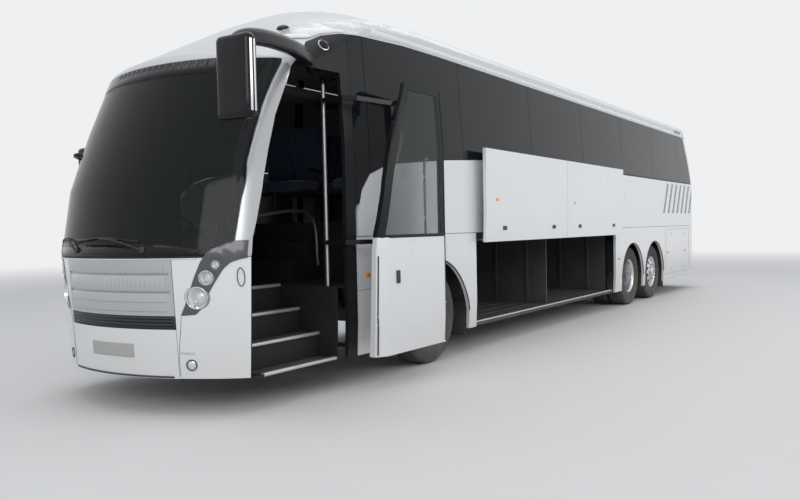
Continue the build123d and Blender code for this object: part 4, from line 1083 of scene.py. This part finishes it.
def make_luggage_doors():
    for end, y0, y1 in BAYS:
        tag = "near_" + end
        low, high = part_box("luggage_door_" + tag)
        middle, length = (y0 + y1) / 2, y1 - y0
        rows = [
            ("handle", "_0", 0.008, y0 + 0.5, 0.16, HANDLE_SIZE, 0.006, PLASTIC),
            ("handle", "_1", 0.008, y1 - 0.5, 0.16, HANDLE_SIZE, 0.006, PLASTIC),
            ("lamp", "", 0.004, y0 + 0.29, 0.5, (0.014, 0.09, 0.034), 0.006, AMBER),
            ("edge", "", 0.036, middle, 0.018, (0.03, length - 0.03, 0.024), 0.005, BRIGHT),
        ]
        for k in range(3):
            size = (0.02, length - 0.34, 0.05)
            rows.append(("rib", f"_{k}", 0.052, middle, 0.25 + k * 0.28, size, 0.008, BAY_GREY))
        for part, suffix, inward, y, z, size, radius, material in rows:
            place = (high.x - inward, y, low.z + z)
            block(f"bay_{part}_{tag}{suffix}", place, size, radius, material, "bay_door_" + tag)
        tag = "off_" + end
        for k, y in enumerate((y0 + 0.5, y1 - 0.5)):
            block(f"bay_handle_{tag}_{k}", (OFF_HANDLE_X, y, 0.46), (0.014, 0.11, 0.05), 0.006,
                  PLASTIC, "bay_door_" + tag)


def make_entrance():
    leaf = "entrance_door"
    low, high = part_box("door_leaf")
    front = [(low.y + 0.006 + SEAL_IN, z) for z in spread(SEAL_FOOT, 0.09, 11)]
    rear = [(high.y - SEAL_IN, z) for z in spread(SEAL_FOOT, 0.168, 16)]
    bar = [(low.y + 0.06 + (high.y - low.y - 0.09) * t, DOOR_SPLIT_Z + 0.01) for t in shares(10)]
    sweep_on("door_front_seal", "leaf", front, 0.007, RUBBER, leaf, sides=12)
    sweep_on("door_rear_seal", "leaf", rear, 0.007, RUBBER, leaf, sides=12)
    sweep_on("door_mid_bar", "leaf", bar, (0.006, 0.016), DARK, leaf, sides=12)
    sweep("door_grab", DOOR_GRAB, 0.013, STEEL, leaf)
    block_on("door_handle", "leaf", -5.42, 1.02, 0.007, (0.018, 0.05, 0.12), PLASTIC, leaf)
    # Step nosings and the ribs of the treads
    for k, (x, z, y0) in enumerate(STEPS):
        strip = [(x, y0 + (STEP_REAR - y0) * t, z) for t in shares(8)]
        sweep(f"step_nosing_{k}", strip, (0.02, 0.016), NOSING, curved=False, power=4.0, sides=16)
        for j in range(5):
            block(f"tread_rib_{k}_{j}", (x - 0.055 - 0.03 * j, (y0 + STEP_REAR) / 2, z + 0.002),
                  (0.012, STEP_REAR - 0.015 - y0, 0.006), 0.002, RUBBER)
    sweep("door_post_sleeve", [POST_FOOT, POST_HEAD], 0.0205, STEEL, "entrance_door_arms",
          curved=False, sides=20)


# Load bay lining
BAY_FLOOR = 0.333
WALL_FACE = 0.024


def make_bays():
    for k, (_, y0, y1) in enumerate(BAYS):
        middle = (y0 + y1) / 2
        for j, x in enumerate(spread(-1.0, 0.235, 9)):
            block(f"bay_floor_rib_{k}_{j}", (x, middle, BAY_FLOOR), (0.03, y1 - y0 - 0.12, 0.01),
                  0.003, BAY_GREY)
        for wall, inward in ((y0, 1), (y1, -1)):
            face = wall + inward * WALL_FACE
            for j, x in enumerate(spread(-0.75, 0.5, 4)):
                block(f"bay_wall_rib_{k}_{j}_{inward + 1}", (x, face, 0.83), (0.05, 0.022, 0.94),
                      0.008, BAY_GREY)
            block(f"bay_wall_cap_{k}_{inward + 1}", (0, face, 1.3), (2.0, WALL_FACE, 0.04), 0.008,
                  STEEL)
        block(f"bay_light_{k}", (0, middle, 1.395), (0.4, 0.09, 0.025), 0.01, LENS)


# Rear
TAIL_X = 1.055
# Columns: height, radius, finish
TAIL_LAMPS = [(1.36, 0.052, RED), (1.23, 0.052, AMBER), (1.1, 0.052, RED), (0.97, 0.045, GLOW)]
REAR_GLASS = rectangle(-0.945, 2.365, 0.945, 3.115)


def make_rear():
    for side, tag in SIDES:
        for k, (z, r, material) in enumerate(TAIL_LAMPS):
            bezel = [(-0.003, r), (0.006, r - 0.001), (0.007, r - 0.008), (-0.001, r - 0.009),
                     (-0.003, r)]
            lens = [(0.0, r - 0.008), (0.004, r * 0.6), (0.0055, r * 0.3), (0.006, 0.0)]
            lathe_on(f"tail_bezel_{tag}_{k}", "rear", side * TAIL_X, z, bezel, 36, CHROME)
            lathe_on(f"tail_lens_{tag}_{k}", "rear", side * TAIL_X, z, lens, 36, material)
        reflector = rectangle(side * 0.9, 0.52, side * 1.08, 0.57)
        skin_patch("rear_reflector_" + tag, reflector, "rear", RED, thick=0.005, bevel=0.001)
    lid = "engine_lid"
    for k, z in enumerate(spread(0.98, 0.052, 9)):
        louvre = rectangle(-0.62, z, 0.62, z + 0.026)
        skin_patch(f"rear_louvre_{k}", louvre, "rear", PLASTIC, lid, thick=0.006, bevel=0.002,
                   step=0.1)
    plate = rectangle(-0.26, 0.7, 0.26, 0.81)
    skin_patch("rear_blank_plate", plate, "rear", TRIM, lid, thick=0.006, bevel=0.001)
    place = on_shell("rear", 0.0, 0.885)[0] + Vector((0, 0.006, 0))
    block("lid_handle", place, (0.24, 0.022, 0.035), 0.009, PLASTIC, lid)
    line = [(a, 0.62) for a in spread(-1.02, 0.102, 21)]
    sweep_on("rear_bumper_line", "rear", line, (0.008, 0.006), PLASTIC, sides=12)
    lamp = [(a, 3.17) for a in spread(-0.3, 0.06, 11)]
    sweep_on("high_brake_lamp", "rear", lamp, (0.007, 0.014), RED, lift=0.002, sides=12)
    sweep_on("rear_glass_seal", "rear", resampled(REAR_GLASS, 0.1), 0.006, RUBBER, sides=8,
             closed=True)


# Stage
BACKDROP = (0.86, 0.87, 0.88)
SKY = (0.93, 0.96, 1.0)
SKY_STRENGTH = 0.55
FLOOR_SIZE = 160
FLOOR_Z = -0.001
# Distances from the part between which the floor turns into the backdrop
FADE_START = 11.0
FADE_END = 34.0
# Columns: name, place, aim, size, power in watts
LAMPS = [
    ("sky_box", (0, 0, 11), (0, 0, 0), (12, 22), 430),
    ("front_box", (7, -19, 7), (0, -5, 1.5), (10, 6), 560),
    ("side_box", (16, 2, 8), (0, 1, 1.5), (14, 6), 560),
]


def backdrop_rays(tree):
    """One for rays that show the backdrop: from the camera, mirrored or passed through."""
    path = tree.nodes.new("ShaderNodeLightPath").outputs
    seen = {0: path["Is Camera Ray"], 1: path["Is Glossy Ray"]}
    seen = {0: new_node(tree, "ShaderNodeMath", "Value", seen, operation="ADD"),
            1: path["Is Transmission Ray"]}
    return new_node(tree, "ShaderNodeMath", "Value", seen, operation="ADD", use_clamp=True)


def end_in_mix(tree, share, first, second, output):
    mix = new_node(tree, "ShaderNodeMixShader", "Shader", {"Fac": share, 1: first, 2: second})
    feed(tree, tree.nodes[output], {"Surface": mix})


def fade_to_backdrop(material):
    """The floor turns into the backdrop far from the part; near the part it keeps the shadow."""
    tree = material.node_tree
    where = {0: new_node(tree, "ShaderNodeNewGeometry", "Position")}
    far = {
        "Value": new_node(tree, "ShaderNodeVectorMath", "Value", where, operation="LENGTH"),
        "From Min": FADE_START, "From Max": FADE_END,
    }
    far = new_node(tree, "ShaderNodeMapRange", "Result", far, interpolation_type="SMOOTHSTEP")
    share = {0: far, 1: backdrop_rays(tree)}
    share = new_node(tree, "ShaderNodeMath", "Value", share, operation="MULTIPLY")
    glow = new_node(tree, "ShaderNodeEmission", "Emission", {"Color": (*BACKDROP, 1)})
    lit = tree.nodes["Principled BSDF"].outputs["BSDF"]
    end_in_mix(tree, share, lit, glow, "Material Output")


def make_stage():
    pale = finish("pale_floor", (0.78, 0.78, 0.78), 0.85, vary=0.02, bump=0.05, fine=40)
    bpy.ops.mesh.primitive_plane_add(size=FLOOR_SIZE, location=(0, 0, FLOOR_Z))
    floor = bpy.context.object
    floor.name = "floor"
    floor.data.materials.append(pale)
    fade_to_backdrop(pale)
    world = bpy.data.worlds.new("studio")
    bpy.context.scene.world = world
    world.use_nodes = True
    tree = world.node_tree
    light = tree.nodes["Background"]
    feed(tree, light, {"Color": (*SKY, 1), "Strength": SKY_STRENGTH})
    seen = new_node(tree, "ShaderNodeBackground", "Background", {"Color": (*BACKDROP, 1)})
    end_in_mix(tree, backdrop_rays(tree), light.outputs["Background"], seen, "World Output")
    for name, place, aim, size, power in LAMPS:
        data = bpy.data.lights.new(name, "AREA")
        data.shape = "RECTANGLE"
        data.size, data.size_y = size
        data.energy = power
        lamp = bpy.data.objects.new(name, data)
        bpy.context.scene.collection.objects.link(lamp)
        lamp.location = place
        lamp.rotation_euler = (Vector(aim) - Vector(place)).to_track_quat("-Z", "Y").to_euler()


make_camera()
make_stage()
dress_nodes()
make_wheels()
make_seats()
make_cab()
make_mirrors()
make_lamps()
make_mask()
make_wipers()
make_sides()
make_roof()
make_luggage_doors()
make_entrance()
make_bays()
make_rear()

scene = bpy.context.scene
scene.view_settings.view_transform = "Standard"
